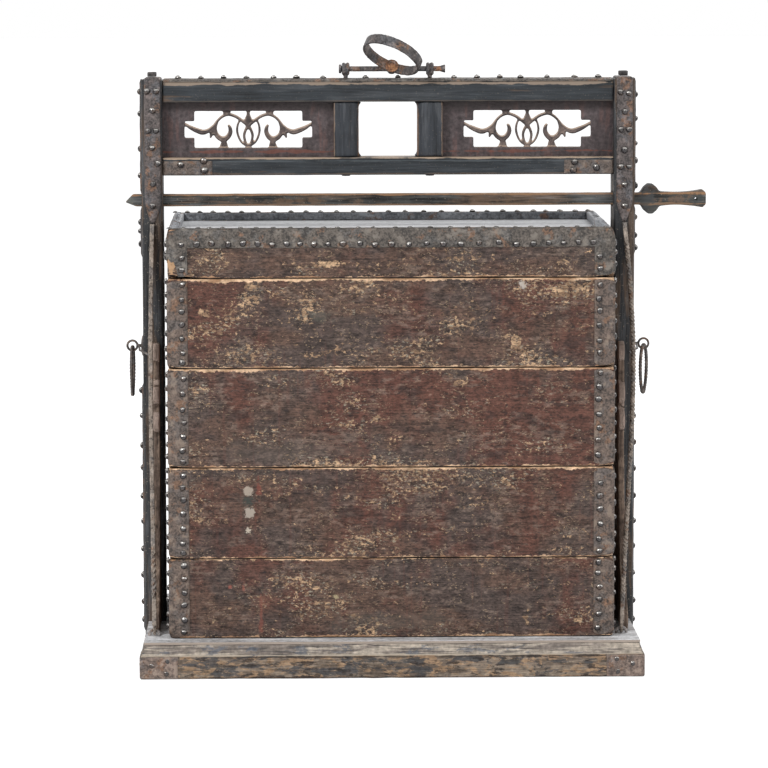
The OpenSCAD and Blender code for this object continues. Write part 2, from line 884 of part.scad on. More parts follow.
module hanger_rod() {
    head = bolt_x + bolt_eye_l / 2 + 0.5;
    color(dark_iron) difference() {
        union() {
            translate([-head - 1, 0, rod_z]) rotate([0, 90, 0]) cylinder(h = 2 * head + 11, r = rod_r);
            translate([-head - 5, 0, rod_z]) rotate([0, 90, 0]) cylinder(h = 5, r = rod_r + 3.2);
            translate([head + 10, 0, rod_z]) rotate([0, 90, 0]) cylinder(h = 10, r1 = rod_r, r2 = rod_r + 2.8);
            on_pin() translate([0, 0, -rod_r]) cylinder(h = 2 * rod_r, r = 2 * rod_r - 1);
        }
        on_pin() translate([0, 0, -20]) cylinder(h = 40, r = pin_r);
    }
}

// Headed pin with its washer, clenched under the rod
module swivel_pin() {
    washer_r = 12.5;
    inner_r = ring_r - ring_t;
    seat = rod_r + stack_gap + ring_t + inner_r - sqrt(inner_r * inner_r - washer_r * washer_r) + stack_gap;
    color(rust) on_pin() {
        translate([0, 0, -rod_r - 3]) cylinder(h = 3, r = pin_r + 2);
        translate([0, 0, -rod_r]) cylinder(h = rod_r + seat, r = pin_r);
        translate([0, 0, seat]) cylinder(h = 1.5, r = washer_r);
        translate([0, 0, seat + 1.5]) intersection() {
            translate([0, 0, -2]) sphere(r = 9);
            cylinder(h = 10, r = 10);
        }
    }
}

// Flat band bent to a circle, standing on the pin
module carrying_ring() {
    color(dark_iron) on_pin() rotate(ring_swivel) difference() {
        translate([0, 0, ring_far]) rotate([90, 0, 0])
            rotate_extrude($fn = 96) translate([ring_r - ring_t, -ring_w / 2]) square([ring_t, ring_w]);
        translate([0, 0, rod_r - 4]) cylinder(h = 14, r = pin_r + turn_gap);
    }
}

// Lock bar
// Front outline of the bar, from the spear tip to the handle's end
module lock_bar() {
    left = -side_x - tip_out;
    stop_x = side_x + 8 + stop_w / 2;
    end = side_x + handle_l;
    neck = stop_x + stop_w / 2 + 24;
    h = bar_h / 2;
    w = stop_w / 2;
    z = stop_h / 2;
    // a quarter of the stop's lozenge
    stop = [[w, 0.4 * z], [0.66 * w, 0.76 * z], [0.22 * w, z]];
    tail = smooth([[stop_x + 10, h + 3], [neck, h + 0.6], [(neck + end) / 2, h + 2], [end - 6, tail_h / 2]], 5);
    color(dark_lacquer) translate([0, 0, bar_z]) rotate([90, 0, 0])
        translate([0, 0, -bar_d / 2]) linear_extrude(bar_d) difference() {
            union() {
                polygon(concat([[left, -3], [left + tip_l, -h], [stop_x, -h]],
                    [for (p = tail) [p[0], -p[1]]],
                    [[end, -tail_h / 2 + 6], [end, tail_h / 2 - 6]],
                    [for (i = [len(tail) - 1:-1:0]) tail[i]],
                    [[stop_x, h], [left + tip_l - 6, h]]));
                translate([stop_x, 0]) polygon(concat(stop, [for (i = [2:-1:0]) [-stop[i][0], stop[i][1]]],
                    [for (p = stop) -p], [for (i = [2:-1:0]) [stop[i][0], -stop[i][1]]]));
            }
            translate([end - 18, 0]) circle(r = tail_hole_r);
        }
}

// Trays and lid
// Section of a long board as [distance in from the outer face, height]
module board_section(h, t, groove_z, groove_h) {
    difference() {
        polygon([[0, seam], [0, h - seam], [seam, h], [t, h], [t, 0], [seam, 0]]);
        translate([t - groove, groove_z]) square([groove + 1, groove_h]);
    }
}

// The tongue at x > 0 that stands on a tray's end board at height z, grown by grow
module tongue(z, half_l, grow) {
    inner = box_w / 2 - board_t;
    span([inner - grow, -half_l, z - 1], [inner + tongue_t + grow, half_l, z + tongue_h + grow]);
}

// Two long boards, the back one notched for the tongues that it is drawn over
module long_boards(z, h, t, groove_z, groove_h) {
    color(lacquer) {
        translate([0, 0, z + stack_gap]) along_front(box_w, box_d) board_section(h, t, groove_z, groove_h);
        difference() {
            mirror([0, 1, 0]) translate([0, 0, z + stack_gap])
                along_front(box_w, box_d) board_section(h, t, groove_z, groove_h);
            if (z > deck_z) both_sides() tongue(z, far, stack_gap);
        }
    }
}

// Two end boards between the long ones, grooved below for the tongues under them
module end_boards(z, h, t, groove_z, groove_h, tongue_above) {
    color(lacquer) both_sides() difference() {
        union() {
            translate([0, 0, z + stack_gap]) rotate(90)
                along_front(box_d - 2 * t, box_w) board_section(h, t, groove_z, groove_h);
            if (tongue_above) tongue(z + stack_gap + h, box_d / 2 - lid_t - stack_gap, 0);
        }
        if (z > deck_z) tongue(z, far, stack_gap);
    }
}

// Angle irons on the four corners
module corner_irons(low, high) {
    w = box_w;
    d = box_d;
    color(dark_iron) both_sides() front_and_back() difference() {
        span([w / 2 - corner_w, -d / 2 - sheet_t, low], [w / 2 + sheet_t, -d / 2 + corner_w, high]);
        span([-far, -d / 2, -1], [w / 2, far, far]);
    }
}

module tray_long_boards(i) {
    long_boards(tray_z(i), tray_h[i] - stack_gap, board_t, bottom_up, bottom_t);
}

module tray_end_boards(i) {
    end_boards(tray_z(i), tray_h[i] - stack_gap, board_t, bottom_up, bottom_t, true);
}

module tray_bottom(i) {
    in = board_t - groove;
    z = tray_z(i) + stack_gap + bottom_up;
    color(old_wood) span([-box_w / 2 + in, -box_d / 2 + in, z], [box_w / 2 - in, box_d / 2 - in, z + bottom_t]);
}

module tray_corner_irons(i) {
    corner_irons(iron_low(tray_z(i)), tray_z(i) + tray_h[i] - seam);
}

module tray_1_long_boards() { tray_long_boards(0); }
module tray_1_end_boards() { tray_end_boards(0); }
module tray_1_bottom() { tray_bottom(0); }
module tray_1_corner_irons() { tray_corner_irons(0); }
module tray_2_long_boards() { tray_long_boards(1); }
module tray_2_end_boards() { tray_end_boards(1); }
module tray_2_bottom() { tray_bottom(1); }
module tray_2_corner_irons() { tray_corner_irons(1); }
module tray_3_long_boards() { tray_long_boards(2); }
module tray_3_end_boards() { tray_end_boards(2); }
module tray_3_bottom() { tray_bottom(2); }
module tray_3_corner_irons() { tray_corner_irons(2); }
module tray_4_long_boards() { tray_long_boards(3); }
module tray_4_end_boards() { tray_end_boards(3); }
module tray_4_bottom() { tray_bottom(3); }
module tray_4_corner_irons() { tray_corner_irons(3); }

// Height of the lid's groove over its lower edge
lid_groove = lid_h - lid_sink - lid_board_t;

// Lower end of the corner irons on a tray or lid that starts at z, clear of the tongues
function iron_low(z) = z + tongue_h + 2 * stack_gap + 0.2;

module lid_long_boards() {
    long_boards(lid_z, lid_h, lid_t, lid_groove, lid_board_t);
}

module lid_end_boards() {
    end_boards(lid_z, lid_h, lid_t, lid_groove, lid_board_t, false);
}

module lid_top_board() {
    in = lid_t - groove;
    z = lid_z + stack_gap + lid_groove;
    color(old_wood) span([-box_w / 2 + in, -box_d / 2 + in, z], [box_w / 2 - in, box_d / 2 - in, z + lid_board_t]);
}

// A band round the lid's upper edge that turns over the rim, and the corner irons below it
module lid_irons() {
    low = lid_top - lid_iron_h;
    rim = lid_t;
    color(dark_iron) {
        difference() {
            span([-box_w / 2 - sheet_t, -box_d / 2 - sheet_t, low],
                [box_w / 2 + sheet_t, box_d / 2 + sheet_t, lid_top + sheet_t]);
            span([-box_w / 2, -box_d / 2, 0], [box_w / 2, box_d / 2, lid_top]);
            span([-box_w / 2 + rim, -box_d / 2 + rim, 0], [box_w / 2 - rim, box_d / 2 - rim, far]);
        }
        corner_irons(iron_low(lid_z), low);
    }
}

base_rail_front();
base_rail_back();
base_rail_left();
base_rail_right();
base_bearer();
deck_boards();
base_corner_plates();
post_left();
post_right();
top_rail();
lower_rail();
window_stiles();
panel_left();
panel_right();
rail_strip();
rail_irons();
bracket_front_left();
bracket_front_right();
bracket_back_left();
bracket_back_right();
post_strap_left();
post_strap_right();
side_straps();
foot_straps();
post_pins();
stay_front_left();
stay_front_right();
stay_back_left();
stay_back_right();
deck_staples();
ring_domes();
ring_eye_left();
ring_eye_right();
drop_ring_left();
drop_ring_right();
eye_bolts();
hanger_rod();
swivel_pin();
carrying_ring();
lock_bar();
tray_1_long_boards();
tray_1_end_boards();
tray_1_bottom();
tray_1_corner_irons();
tray_2_long_boards();
tray_2_end_boards();
tray_2_bottom();
tray_2_corner_irons();
tray_3_long_boards();
tray_3_end_boards();
tray_3_bottom();
tray_3_corner_irons();
tray_4_long_boards();
tray_4_end_boards();
tray_4_bottom();
tray_4_corner_irons();
lid_long_boards();
lid_end_boards();
lid_top_board();
lid_irons();
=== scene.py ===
import math

import bpy
import numpy as np
from mathutils import Matrix, Vector
from mathutils.kdtree import KDTree


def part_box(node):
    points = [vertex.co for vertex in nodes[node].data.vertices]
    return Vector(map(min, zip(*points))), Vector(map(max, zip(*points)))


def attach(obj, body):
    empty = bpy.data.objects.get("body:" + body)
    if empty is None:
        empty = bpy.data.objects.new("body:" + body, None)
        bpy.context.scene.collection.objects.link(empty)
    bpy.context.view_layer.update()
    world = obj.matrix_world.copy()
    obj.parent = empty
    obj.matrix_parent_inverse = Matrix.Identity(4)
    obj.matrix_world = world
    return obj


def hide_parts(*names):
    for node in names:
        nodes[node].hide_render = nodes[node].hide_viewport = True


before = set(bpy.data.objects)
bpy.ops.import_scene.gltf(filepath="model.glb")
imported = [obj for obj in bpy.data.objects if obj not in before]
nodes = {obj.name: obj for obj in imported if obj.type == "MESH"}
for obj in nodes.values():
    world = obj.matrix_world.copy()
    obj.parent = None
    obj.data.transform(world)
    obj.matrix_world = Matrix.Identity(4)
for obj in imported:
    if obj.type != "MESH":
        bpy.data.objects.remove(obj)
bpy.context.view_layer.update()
scene = bpy.context.scene
MM = 0.001
FRONT = -0.208    # the tiers' front

# Camera
PICTURE = 768      # the photograph's sides, in pixels
SENSOR = 36        # mm
LENS_PX = 3496.4   # the lens's length, in the same pixels
SHIFT = (0.03, -0.10)
PITCH, YAW, ROLL = math.radians(5.46), math.radians(-1.02), math.radians(-0.15)
EYE = Vector((-0.160, -6.243, 1.222))

level = Vector((math.cos(YAW), math.sin(YAW), 0))
ahead = Vector((-math.sin(YAW), math.cos(YAW), 0))
view_ahead = ahead * math.cos(PITCH) - Vector((0, 0, math.sin(PITCH)))
rise = ahead * math.sin(PITCH) + Vector((0, 0, math.cos(PITCH)))
view_right = level * math.cos(ROLL) + rise * math.sin(ROLL)
view_up = rise * math.cos(ROLL) - level * math.sin(ROLL)

camera_data = bpy.data.cameras.new("camera")
camera = bpy.data.objects.new("camera", camera_data)
scene.collection.objects.link(camera)
camera_data.sensor_width = SENSOR
camera_data.lens = LENS_PX * SENSOR / PICTURE
camera_data.shift_x, camera_data.shift_y = SHIFT
camera_data.clip_end = 200
turn = Matrix((view_right, view_up, -view_ahead)).transposed().to_4x4()
camera.matrix_world = Matrix.Translation(EYE) @ turn
scene.camera = camera


def at(px, py, y):
    """Point of the plane at depth y that the photograph shows at px, py, in metres."""
    u = (px + (SHIFT[0] - 0.5) * PICTURE) / LENS_PX
    v = -(py - (SHIFT[1] + 0.5) * PICTURE) / LENS_PX
    ray = view_ahead + view_right * u + view_up * v
    return EYE + ray * ((y - EYE.y) / ray.y)


# Smooth lattice noise on points, from -1 to 1
def lattice(i, seed):
    h = (i[:, 0] * 374761393 + i[:, 1] * 668265263 + i[:, 2] * 1440662683 + seed * 97531) & 0xffffffff
    h = ((h ^ (h >> 13)) * 1274126177) & 0xffffffff
    return ((h ^ (h >> 16)) & 0xffff) / 32767.5 - 1


def noise(points, size, seed, octaves=2):
    p = np.asarray(points, float) / size
    total = np.zeros(len(p))
    for o in range(octaves):
        q = p * 2 ** o + 17.3 * o
        cell = np.floor(q).astype(np.int64)
        f = q - cell
        f = f * f * (3 - 2 * f)
        out = np.zeros(len(q))
        for c in range(8):
            step = np.array([c & 1, c >> 1 & 1, c >> 2 & 1])
            w = np.prod(np.where(step, f, 1 - f), axis=1)
            out += w * lattice(cell + step, seed + 31 * o)
        total += out / 2 ** o
    return total / (2 - 0.5 ** (octaves - 1))


# Meshes
def read(items, key, width=3):
    """One measure of a mesh's vertices or edges, as rows of width numbers."""
    values = np.zeros(len(items) * width, int if key == "vertices" else float)
    items.foreach_get(key, values)
    return values.reshape(-1, width)


def store(mesh, key, values):
    """One number for each point, which the materials read by its name."""
    mesh.attributes.new(key, "FLOAT", "POINT").data.foreach_set("value", np.asarray(values, np.float32))


def make(name, points, faces, wear):
    """wear is one number for each point, or three: how near it is to any edge, to the upper and to the lower one."""
    mesh = bpy.data.meshes.new(name)
    mesh.from_pydata(np.asarray(points, float).tolist(), [], [tuple(map(int, f)) for f in faces])
    mesh.validate()
    mesh.polygons.foreach_set("use_smooth", [True] * len(mesh.polygons))
    for key, column in zip(("wear", "up", "low"), columns(wear).T):
        store(mesh, key, column)
    ob = bpy.data.objects.new(name, mesh)
    scene.collection.objects.link(ob)
    return ob


def columns(wear):
    wear = np.asarray(wear, float)
    return wear if wear.ndim == 2 else np.stack([wear, 0 * wear, 0 * wear], 1)


def merged(parts):
    """One list of points, faces and wear from several."""
    points, faces, wear, base = [], [], [], 0
    for p, f, w in parts:
        points.append(np.asarray(p, float))
        faces.extend([tuple(i + base for i in q) for q in f])
        wear.append(columns(w))
        base += len(p)
    return np.vstack(points), faces, np.vstack(wear)


def spread(lo, hi, pitch, extra=()):
    """Places from lo to hi, close together near both ends."""
    near = [d * MM for d in (0, 0.8, 1.8, 3.2, 5, 8) if d * MM < (hi - lo) / 2.2]
    inner = hi - lo - 2 * near[-1]
    n = max(int(round(inner / pitch)), 1)
    middle = [lo + near[-1] + inner * i / n for i in range(1, n)]
    all_places = [lo + d for d in near] + middle + [hi - d for d in near] + list(extra)
    return np.array(sorted(set(round(v, 6) for v in all_places)))


def block(xs, ys, zs):
    """The outer points and faces of a box that is cut at these places."""
    i, j, k = np.indices((len(xs), len(ys), len(zs)))
    shell = (i == 0) | (i == len(xs) - 1) | (j == 0) | (j == len(ys) - 1) | (k == 0) | (k == len(zs) - 1)
    ids = -np.ones(shell.shape, int)
    ids[shell] = np.arange(shell.sum())
    points = np.stack([xs[i[shell]], ys[j[shell]], zs[k[shell]]], 1)
    faces = []
    sides = (ids[0], 1), (ids[-1], 0), (ids[:, 0], 0), (ids[:, -1], 1), (ids[:, :, 0], 1), (ids[:, :, -1], 0)
    for plane, flip in sides:
        quads = np.stack([plane[:-1, :-1], plane[1:, :-1], plane[1:, 1:], plane[:-1, 1:]], -1).reshape(-1, 4)
        faces.extend((quads[:, ::-1] if flip else quads).tolist())
    return points, faces


def worn(lo, hi, radius, seed, pitch, raised=None, extra_x=(), corner=0.0, bites=()):
    """A board with rounded, uneven edges, rounder by corner towards the ends of its length.
    raised = (x0, x1, height) lifts its underside between two widths, where extra_x puts cuts across it;
    bites = (x, half width, height) wear it from below."""
    lo, hi = np.array(lo, float), np.array(hi, float)
    p, faces = block(spread(lo[0], hi[0], pitch, extra_x), spread(lo[1], hi[1], pitch), spread(lo[2], hi[2], pitch))
    gap = np.sort(np.minimum(p - lo, hi - p), axis=1)
    r = radius * (1 + 0.4 * noise(p, 0.045, seed) + 0.2 * noise(p, 0.012, seed + 5))
    long = int(np.argmax(hi - lo))
    end = np.minimum(p[:, long] - lo[long], hi[long] - p[:, long])
    r = r + corner * np.exp(-(end / 0.010) ** 2)
    r = np.clip(r, 0.0004, (hi - lo).min() * 0.45)[:, None]
    q = np.clip(p, lo + r, hi - r)
    d = p - q
    size = np.linalg.norm(d, axis=1, keepdims=True)
    out = q + d / size * r
    inward = -d / size * (0.0005 * (1 + noise(p, 0.13, seed + 9)))[:, None]
    out = out + inward * np.clip(gap[:, 1:2] / 0.01, 0, 1)
    for x, half, height in bites:
        swell = np.clip(1 - abs(p[:, 0] - x) / half, 0, 1) ** 1.3 * np.clip(1 - (p[:, 2] - lo[2]) / 0.014, 0, 1)
        out[:, 2] += height * swell * (1 + 0.3 * noise(p, 0.009, seed + 12))
    if raised:
        x0, x1, h = raised
        under = (p[:, 2] < lo[2] + 0.0015) & (np.abs(p[:, 0]) > x0) & (np.abs(p[:, 0]) < x1)
        out[under, 2] = np.maximum(out[under, 2], lo[2] + h)
    wear = np.clip(1 - gap[:, 1] / 0.010, 0, 1)
    up = np.clip(1 - (hi[2] - p[:, 2]) / 0.012, 0, 1)
    low = np.clip(1 - (p[:, 2] - lo[2]) / 0.012, 0, 1)
    return out, faces, np.stack([wear, up, low], 1)


def relax(points, edges, rounds):
    """Moves each point half the way to the middle of its neighbours, in each round."""
    n = len(points)
    degree = np.bincount(edges.ravel(), minlength=n)[:, None]
    one, two = edges.T
    for _ in range(rounds):
        near = np.stack([np.bincount(one, c[two], n) + np.bincount(two, c[one], n) for c in points.T], 1)
        points = points + 0.5 * (near / degree - points)
    return points


def aged(node, voxel, rounds, dent, dent_size, seed):
    """A remeshed copy of a solid with worn edges; its wear is the amount by which each point was rounded off."""
    source = nodes[node].data.copy()
    ob = bpy.data.objects.new("worn_" + node, source)
    scene.collection.objects.link(ob)
    m = ob.modifiers.new("remesh", "REMESH")
    m.mode = "VOXEL"
    m.voxel_size = voxel
    m.use_smooth_shade = True
    mesh = bpy.data.meshes.new_from_object(ob.evaluated_get(bpy.context.evaluated_depsgraph_get()))
    ob.modifiers.clear()
    ob.data = mesh
    bpy.data.meshes.remove(source)
    p, edges, normal = read(mesh.vertices, "co"), read(mesh.edges, "vertices", 2), read(mesh.vertices, "normal")
    soft = relax(p, edges, rounds)
    cut = np.einsum("ij,ij->i", p - relax(soft, edges, 4), normal)
    soft -= normal * (dent * (1 + noise(soft, dent_size, seed)))[:, None]
    mesh.vertices.foreach_set("co", soft.ravel())
    store(mesh, "wear", np.clip(cut / (0.9 * voxel), 0, 1))
    mesh.polygons.foreach_set("use_smooth", [True] * len(mesh.polygons))
    return ob


def sheet(path, low, high, thick, seed, ragged, sign=1, pitch=0.006, ends=True):
    """Thin iron laid along path, a list of (point, outward, across) frames, from low to high across it.
    low and high are functions of the way along the path, in metres, or plain numbers. A sign below 0 turns the
    faces the other way round, where the path runs left-handed; ends tells if the iron gets thinner there too."""
    at_low = low if callable(low) else (lambda s: low)
    at_high = high if callable(high) else (lambda s: high)
    p0 = np.array([f[0] for f in path])
    way = np.concatenate([[0], np.cumsum(np.linalg.norm(np.diff(p0, axis=0), axis=1))])
    total = way[-1]
    widest = max(at_high(s) - at_low(s) for s in way)
    n = max(int(widest / pitch), 3)
    share = np.array(sorted(set([0, 0.0012 / widest, 0.003 / widest] + [i / n for i in range(1, n)]
                                + [1 - 0.003 / widest, 1 - 0.0012 / widest, 1])))
    outer, inner, wear = [], [], []
    for (c, out, across), s in zip(path, way):
        a, b = at_low(s), at_high(s)
        j = ragged * noise([c + across * a, c + across * b], 0.009, seed, 3)
        a, b = a + abs(j[0]) * 1.6, b - abs(j[1]) * 1.6
        v = a + (b - a) * share
        edge = np.clip(np.minimum(np.minimum(v - a, b - v), min(s, total - s) if ends else 1), 0, None)
        lift = thick * (0.45 + 0.55 * np.minimum(edge / 0.0025, 1) ** 0.5)
        row = c + np.outer(v, across)
        inner.append(row)
        outer.append(row + np.outer(lift, out))
        wear.append(np.maximum(0, 1 - edge / 0.006))
    rows, cols = len(path), len(share)
    outer, inner = np.vstack(outer), np.vstack(inner)
    normals = np.repeat(np.array([f[1] for f in path]), cols, axis=0)
    outer = outer - normals * (0.00035 * (1 + noise(outer, 0.014, seed + 3)))[:, None] * min(thick / 0.002, 1.5)
    k = rows * cols
    ids = np.arange(k).reshape(rows, cols)
    top = np.stack([ids[:-1, :-1], ids[1:, :-1], ids[1:, 1:], ids[:-1, 1:]], -1).reshape(-1, 4)
    rim = [*ids[:, 0], *ids[-1, 1:], *ids[-2::-1, -1], *ids[0, -2:0:-1]]
    faces = top.tolist() + (top[:, ::-1] + k).tolist()
    faces += [(b, a, a + k, b + k) for a, b in zip(rim, rim[1:] + rim[:1])]
    if sign < 0:
        faces = [face[::-1] for face in faces]
    w = np.concatenate(wear)
    return np.vstack([outer, inner]), faces, np.concatenate([w, w])


X, Y, Z = np.eye(3)
BEND = 0.003    # radius of an iron's bend round a corner


def angle_path(x, y, wide, pitch=0.005):
    """Round the corner at (x, y) of a box centred on the origin, from its front or back face to its end face."""
    out_x, out_y = X * math.copysign(1, x), Y * math.copysign(1, y)
    corner = X * x + Y * y
    n = max(int((wide - BEND) / pitch), 2)
    ways = [BEND + (wide - BEND) * i / n for i in range(n + 1)]
    path = [(corner - out_x * way, out_y, Z) for way in reversed(ways)]
    path += arc_path(corner - (out_x + out_y) * BEND, out_y, out_x, BEND, Z)
    return path + [(corner - out_y * way, out_x, Z) for way in ways]


def line_path(a, b, out, across):
    a, b = np.array(a, float), np.array(b, float)
    n = max(int(np.linalg.norm(b - a) / 0.006), 3)
    return [(a + (b - a) * i / n, out, across) for i in range(n + 1)]


def arc_path(centre, start, end, radius, across):
    """Frames round a corner, turning from the direction start to the direction end."""
    outs = [start * math.cos(a) + end * math.sin(a) for a in math.pi / 10 * np.arange(1, 5)]
    return [(np.array(centre) + out * radius, out, across) for out in outs]


def nail(centre, out, radius, height, seed):
    """One hand-forged dome nail, a little uneven."""
    rng = np.random.default_rng(seed)
    out = Vector(out).normalized()
    tilt = Vector(rng.normal(0, 0.07, 3))
    axis = (out + tilt - out * tilt.dot(out)).normalized()
    side = axis.orthogonal().normalized()
    centre, axis, side, other = (np.array(v) for v in (centre, axis, side, axis.cross(side)))
    n, rings = 12, 4
    radius *= 1 + rng.normal(0, 0.05)
    height *= 1 + rng.normal(0, 0.08)
    turns = 2 * math.pi / n * np.arange(n)
    bumps = 1 + 0.07 * np.sin(2 * turns + rng.uniform(0, 6)) + rng.normal(0, 0.02, n)
    circle = np.outer(bumps * np.cos(turns), side) + np.outer(bumps * np.sin(turns), other)
    points, faces = [], []
    for r in range(rings):
        a = math.pi / 2 * r / rings
        points.append(centre + circle * radius * math.cos(a) + axis * (height * math.sin(a) if r else -0.0004))
        for k in range(n):
            here, there = r * n + k, r * n + (k + 1) % n
            faces.append((here, there, rings * n) if r == rings - 1 else (here, there, there + n, here + n))
    faces.append(tuple(range(n))[::-1])
    # runs from 0.25 at the rim to 1 at the top; the nail material paints shade at the rim with it
    wear = np.repeat(0.25 + 0.75 / rings * np.arange(rings), n)
    return np.vstack([*points, centre + axis * height]), faces, np.append(wear, 1.0)


def nails(name, body, places, seed, radius=0.0057, height=0.0048, look="nail", slot=None):
    """places = list of (point, outward), or with a radius and height as well; all in one mesh that rides on body."""
    parts = [nail(c, o, *(size or (radius, height)), seed * 1000 + i) for i, (c, o, *size) in enumerate(places)]
    finish_piece(make(name, *merged(parts)), body, look, slot=slot)


# Materials
ONE_OCTAVE = 0.111    # spread of one octave of Blender's noise


def srgb(r, g, b):
    """A colour given as it looks in the photograph, 0 to 255."""
    shares = [c / 255 for c in (r, g, b)]
    return tuple(c / 12.92 if c <= 0.04045 else ((c + 0.055) / 1.055) ** 2.4 for c in shares) + (1.0,)


class Nodes:
    """A node tree, written as nested calls. colour is what the material looks like so far."""

    def __init__(self, name, seed=0.0, home="materials", shader="Principled BSDF"):
        self.owner = getattr(bpy.data, home).new(name)
        self.owner.use_nodes = True
        self.nodes, self.links = self.owner.node_tree.nodes, self.owner.node_tree.links
        self.shader = self.nodes[shader].inputs
        self.place = self.nodes.new("ShaderNodeTexCoord").outputs["Object"]
        self.seed, self.colour = seed, None

    def put(self, inputs, values):
        """Links or sets some inputs, given by their names or numbers."""
        for key, value in values.items():
            if isinstance(value, bpy.types.NodeSocket):
                self.links.new(value, inputs[key])
            elif value is not None:
                inputs[key].default_value = value

    def add(self, kind, values=None, **settings):
        node = self.nodes.new(kind)
        for key, value in settings.items():
            setattr(node, key, value)
        self.put(node.inputs, values or {})
        return node.outputs

    def scaled(self, x, y, z):
        return self.add("ShaderNodeMapping", {"Vector": self.place, "Scale": (x, y, z)})[0]

    def field(self, scale, seed, vector=None, detail=4, rough=0.6, warp=0.0):
        """Noise around 0, in units of its own spread, so that 1.3 is passed on a tenth of the surface."""
        values = {"Vector": vector or self.place, "W": self.seed + seed, "Scale": scale, "Detail": detail,
                  "Roughness": rough, "Distortion": warp}
        fac = self.add("ShaderNodeTexNoise", values, noise_dimensions="4D")["Fac"]
        sizes = [rough ** i for i in range(detail + 1)]
        spread_of = ONE_OCTAVE * math.sqrt(sum(size * size for size in sizes)) / sum(sizes)
        return self.math("MULTIPLY_ADD", fac, 1 / spread_of, -0.5 / spread_of)

    def math(self, op, a, b=0.5, c=None):
        return self.add("ShaderNodeMath", {0: a, 1: b, 2: c}, operation=op)[0]

    def sum(self, *terms):
        """Adds up pairs of (field, weight) and plain numbers; the first one is a pair."""
        total = self.math("MULTIPLY", *terms[0])
        for term in terms[1:]:
            pair = isinstance(term, tuple)
            total = self.math("MULTIPLY_ADD", *term, total) if pair else self.math("ADD", total, term)
        return total

    def step(self, value, low, high, out_low=0.0, out_high=1.0):
        """Runs smoothly from out_low to out_high while value goes from low to high."""
        values = {"Value": value, "From Min": low, "From Max": high, "To Min": out_low, "To Max": out_high}
        return self.add("ShaderNodeMapRange", values, interpolation_type="SMOOTHSTEP")["Result"]

    def mix(self, share, a, b):
        a, b = (srgb(*v) if isinstance(v, tuple) else v for v in (a, b))
        values = {"Factor_Float": share, "A_Color": a, "B_Color": b}
        node = self.nodes.new("ShaderNodeMix")
        node.data_type = "RGBA"
        self.put({socket.identifier: socket for socket in node.inputs}, values)
        return next(socket for socket in node.outputs if socket.type == "RGBA")

    def dim(self, colour, factor):
        """The colour with its light multiplied by factor."""
        values = {0: colour, "Scale": self.math("MAXIMUM", factor, 0.25)}
        return self.add("ShaderNodeVectorMath", values, operation="SCALE")[0]

    def over(self, share, tint):
        self.colour = self.mix(share, self.colour, tint)

    def cover(self, value, low, high, tint, share=1.0):
        """Lays a tint over the colour where value is past low, up to its full share at high."""
        self.over(self.step(value, low, high, 0, share), tint)

    def shade(self, factor):
        self.colour = self.dim(self.colour, factor)

    def attribute(self, name="wear"):
        return self.add("ShaderNodeAttribute", attribute_name=name)["Fac"]

    def axis(self, name):
        return self.add("ShaderNodeSeparateXYZ", {"Vector": self.place})[name]

    def facing(self, name):
        """Outward direction of the surface along one axis."""
        return self.add("ShaderNodeSeparateXYZ", {"Vector": self.add("ShaderNodeNewGeometry")["Normal"]})[name]

    def band(self, height, half, tint, share, ragged, seed, along="Z"):
        """A line of another colour at a height, or at a distance from the middle along another axis, in metres."""
        place = self.axis(along) if along == "Z" else self.math("ABSOLUTE", self.axis(along))
        off = self.math("ABSOLUTE", self.math("SUBTRACT", place, height))
        width = self.sum((self.field(1, seed, self.scaled(26, 26, 60)), ragged * half), half)
        self.over(self.math("MULTIPLY", self.step(self.math("SUBTRACT", width, off), -0.0006, 0.0006), share), tint)

    def away(self, x, z, rx, rz, depth):
        """Distance from a spot on the front, 1 at the edge of an ellipse; depth is the way to the object's middle."""
        values = {"Vector": self.place, "Location": (x, -depth, z), "Scale": (rx, max(depth, 0.05) / 2, rz)}
        place = self.add("ShaderNodeMapping", values, vector_type="TEXTURE")[0]
        return self.add("ShaderNodeVectorMath", {0: place}, operation="LENGTH")["Value"]

    def marks(self, marks, seed, depth=0.0):
        """Marks on the front, each as x, z, half width, half height, tint, share, softness."""
        for i, (x, z, rx, rz, tint, share, soft) in enumerate(marks):
            ragged = self.field(1.9 / max(rx, rz), seed + i, None, 5, 0.65)
            off = self.math("MULTIPLY_ADD", ragged, 0.06 + 0.34 * soft, self.away(x, z, rx, rz, depth))
            self.cover(off, 1 + soft / 2, 1 - soft / 2, tint, share)

    def bump(self, height, distance, strength):
        return self.add("ShaderNodeBump", {"Strength": strength, "Distance": distance, "Height": height})["Normal"]

    def done(self, rough, normal, metallic=0.0, specular=0.5):
        self.put(self.shader, {"Base Color": self.colour, "Roughness": rough, "Metallic": metallic,
                               "Specular IOR Level": specular, "Normal": normal})
        return self.owner


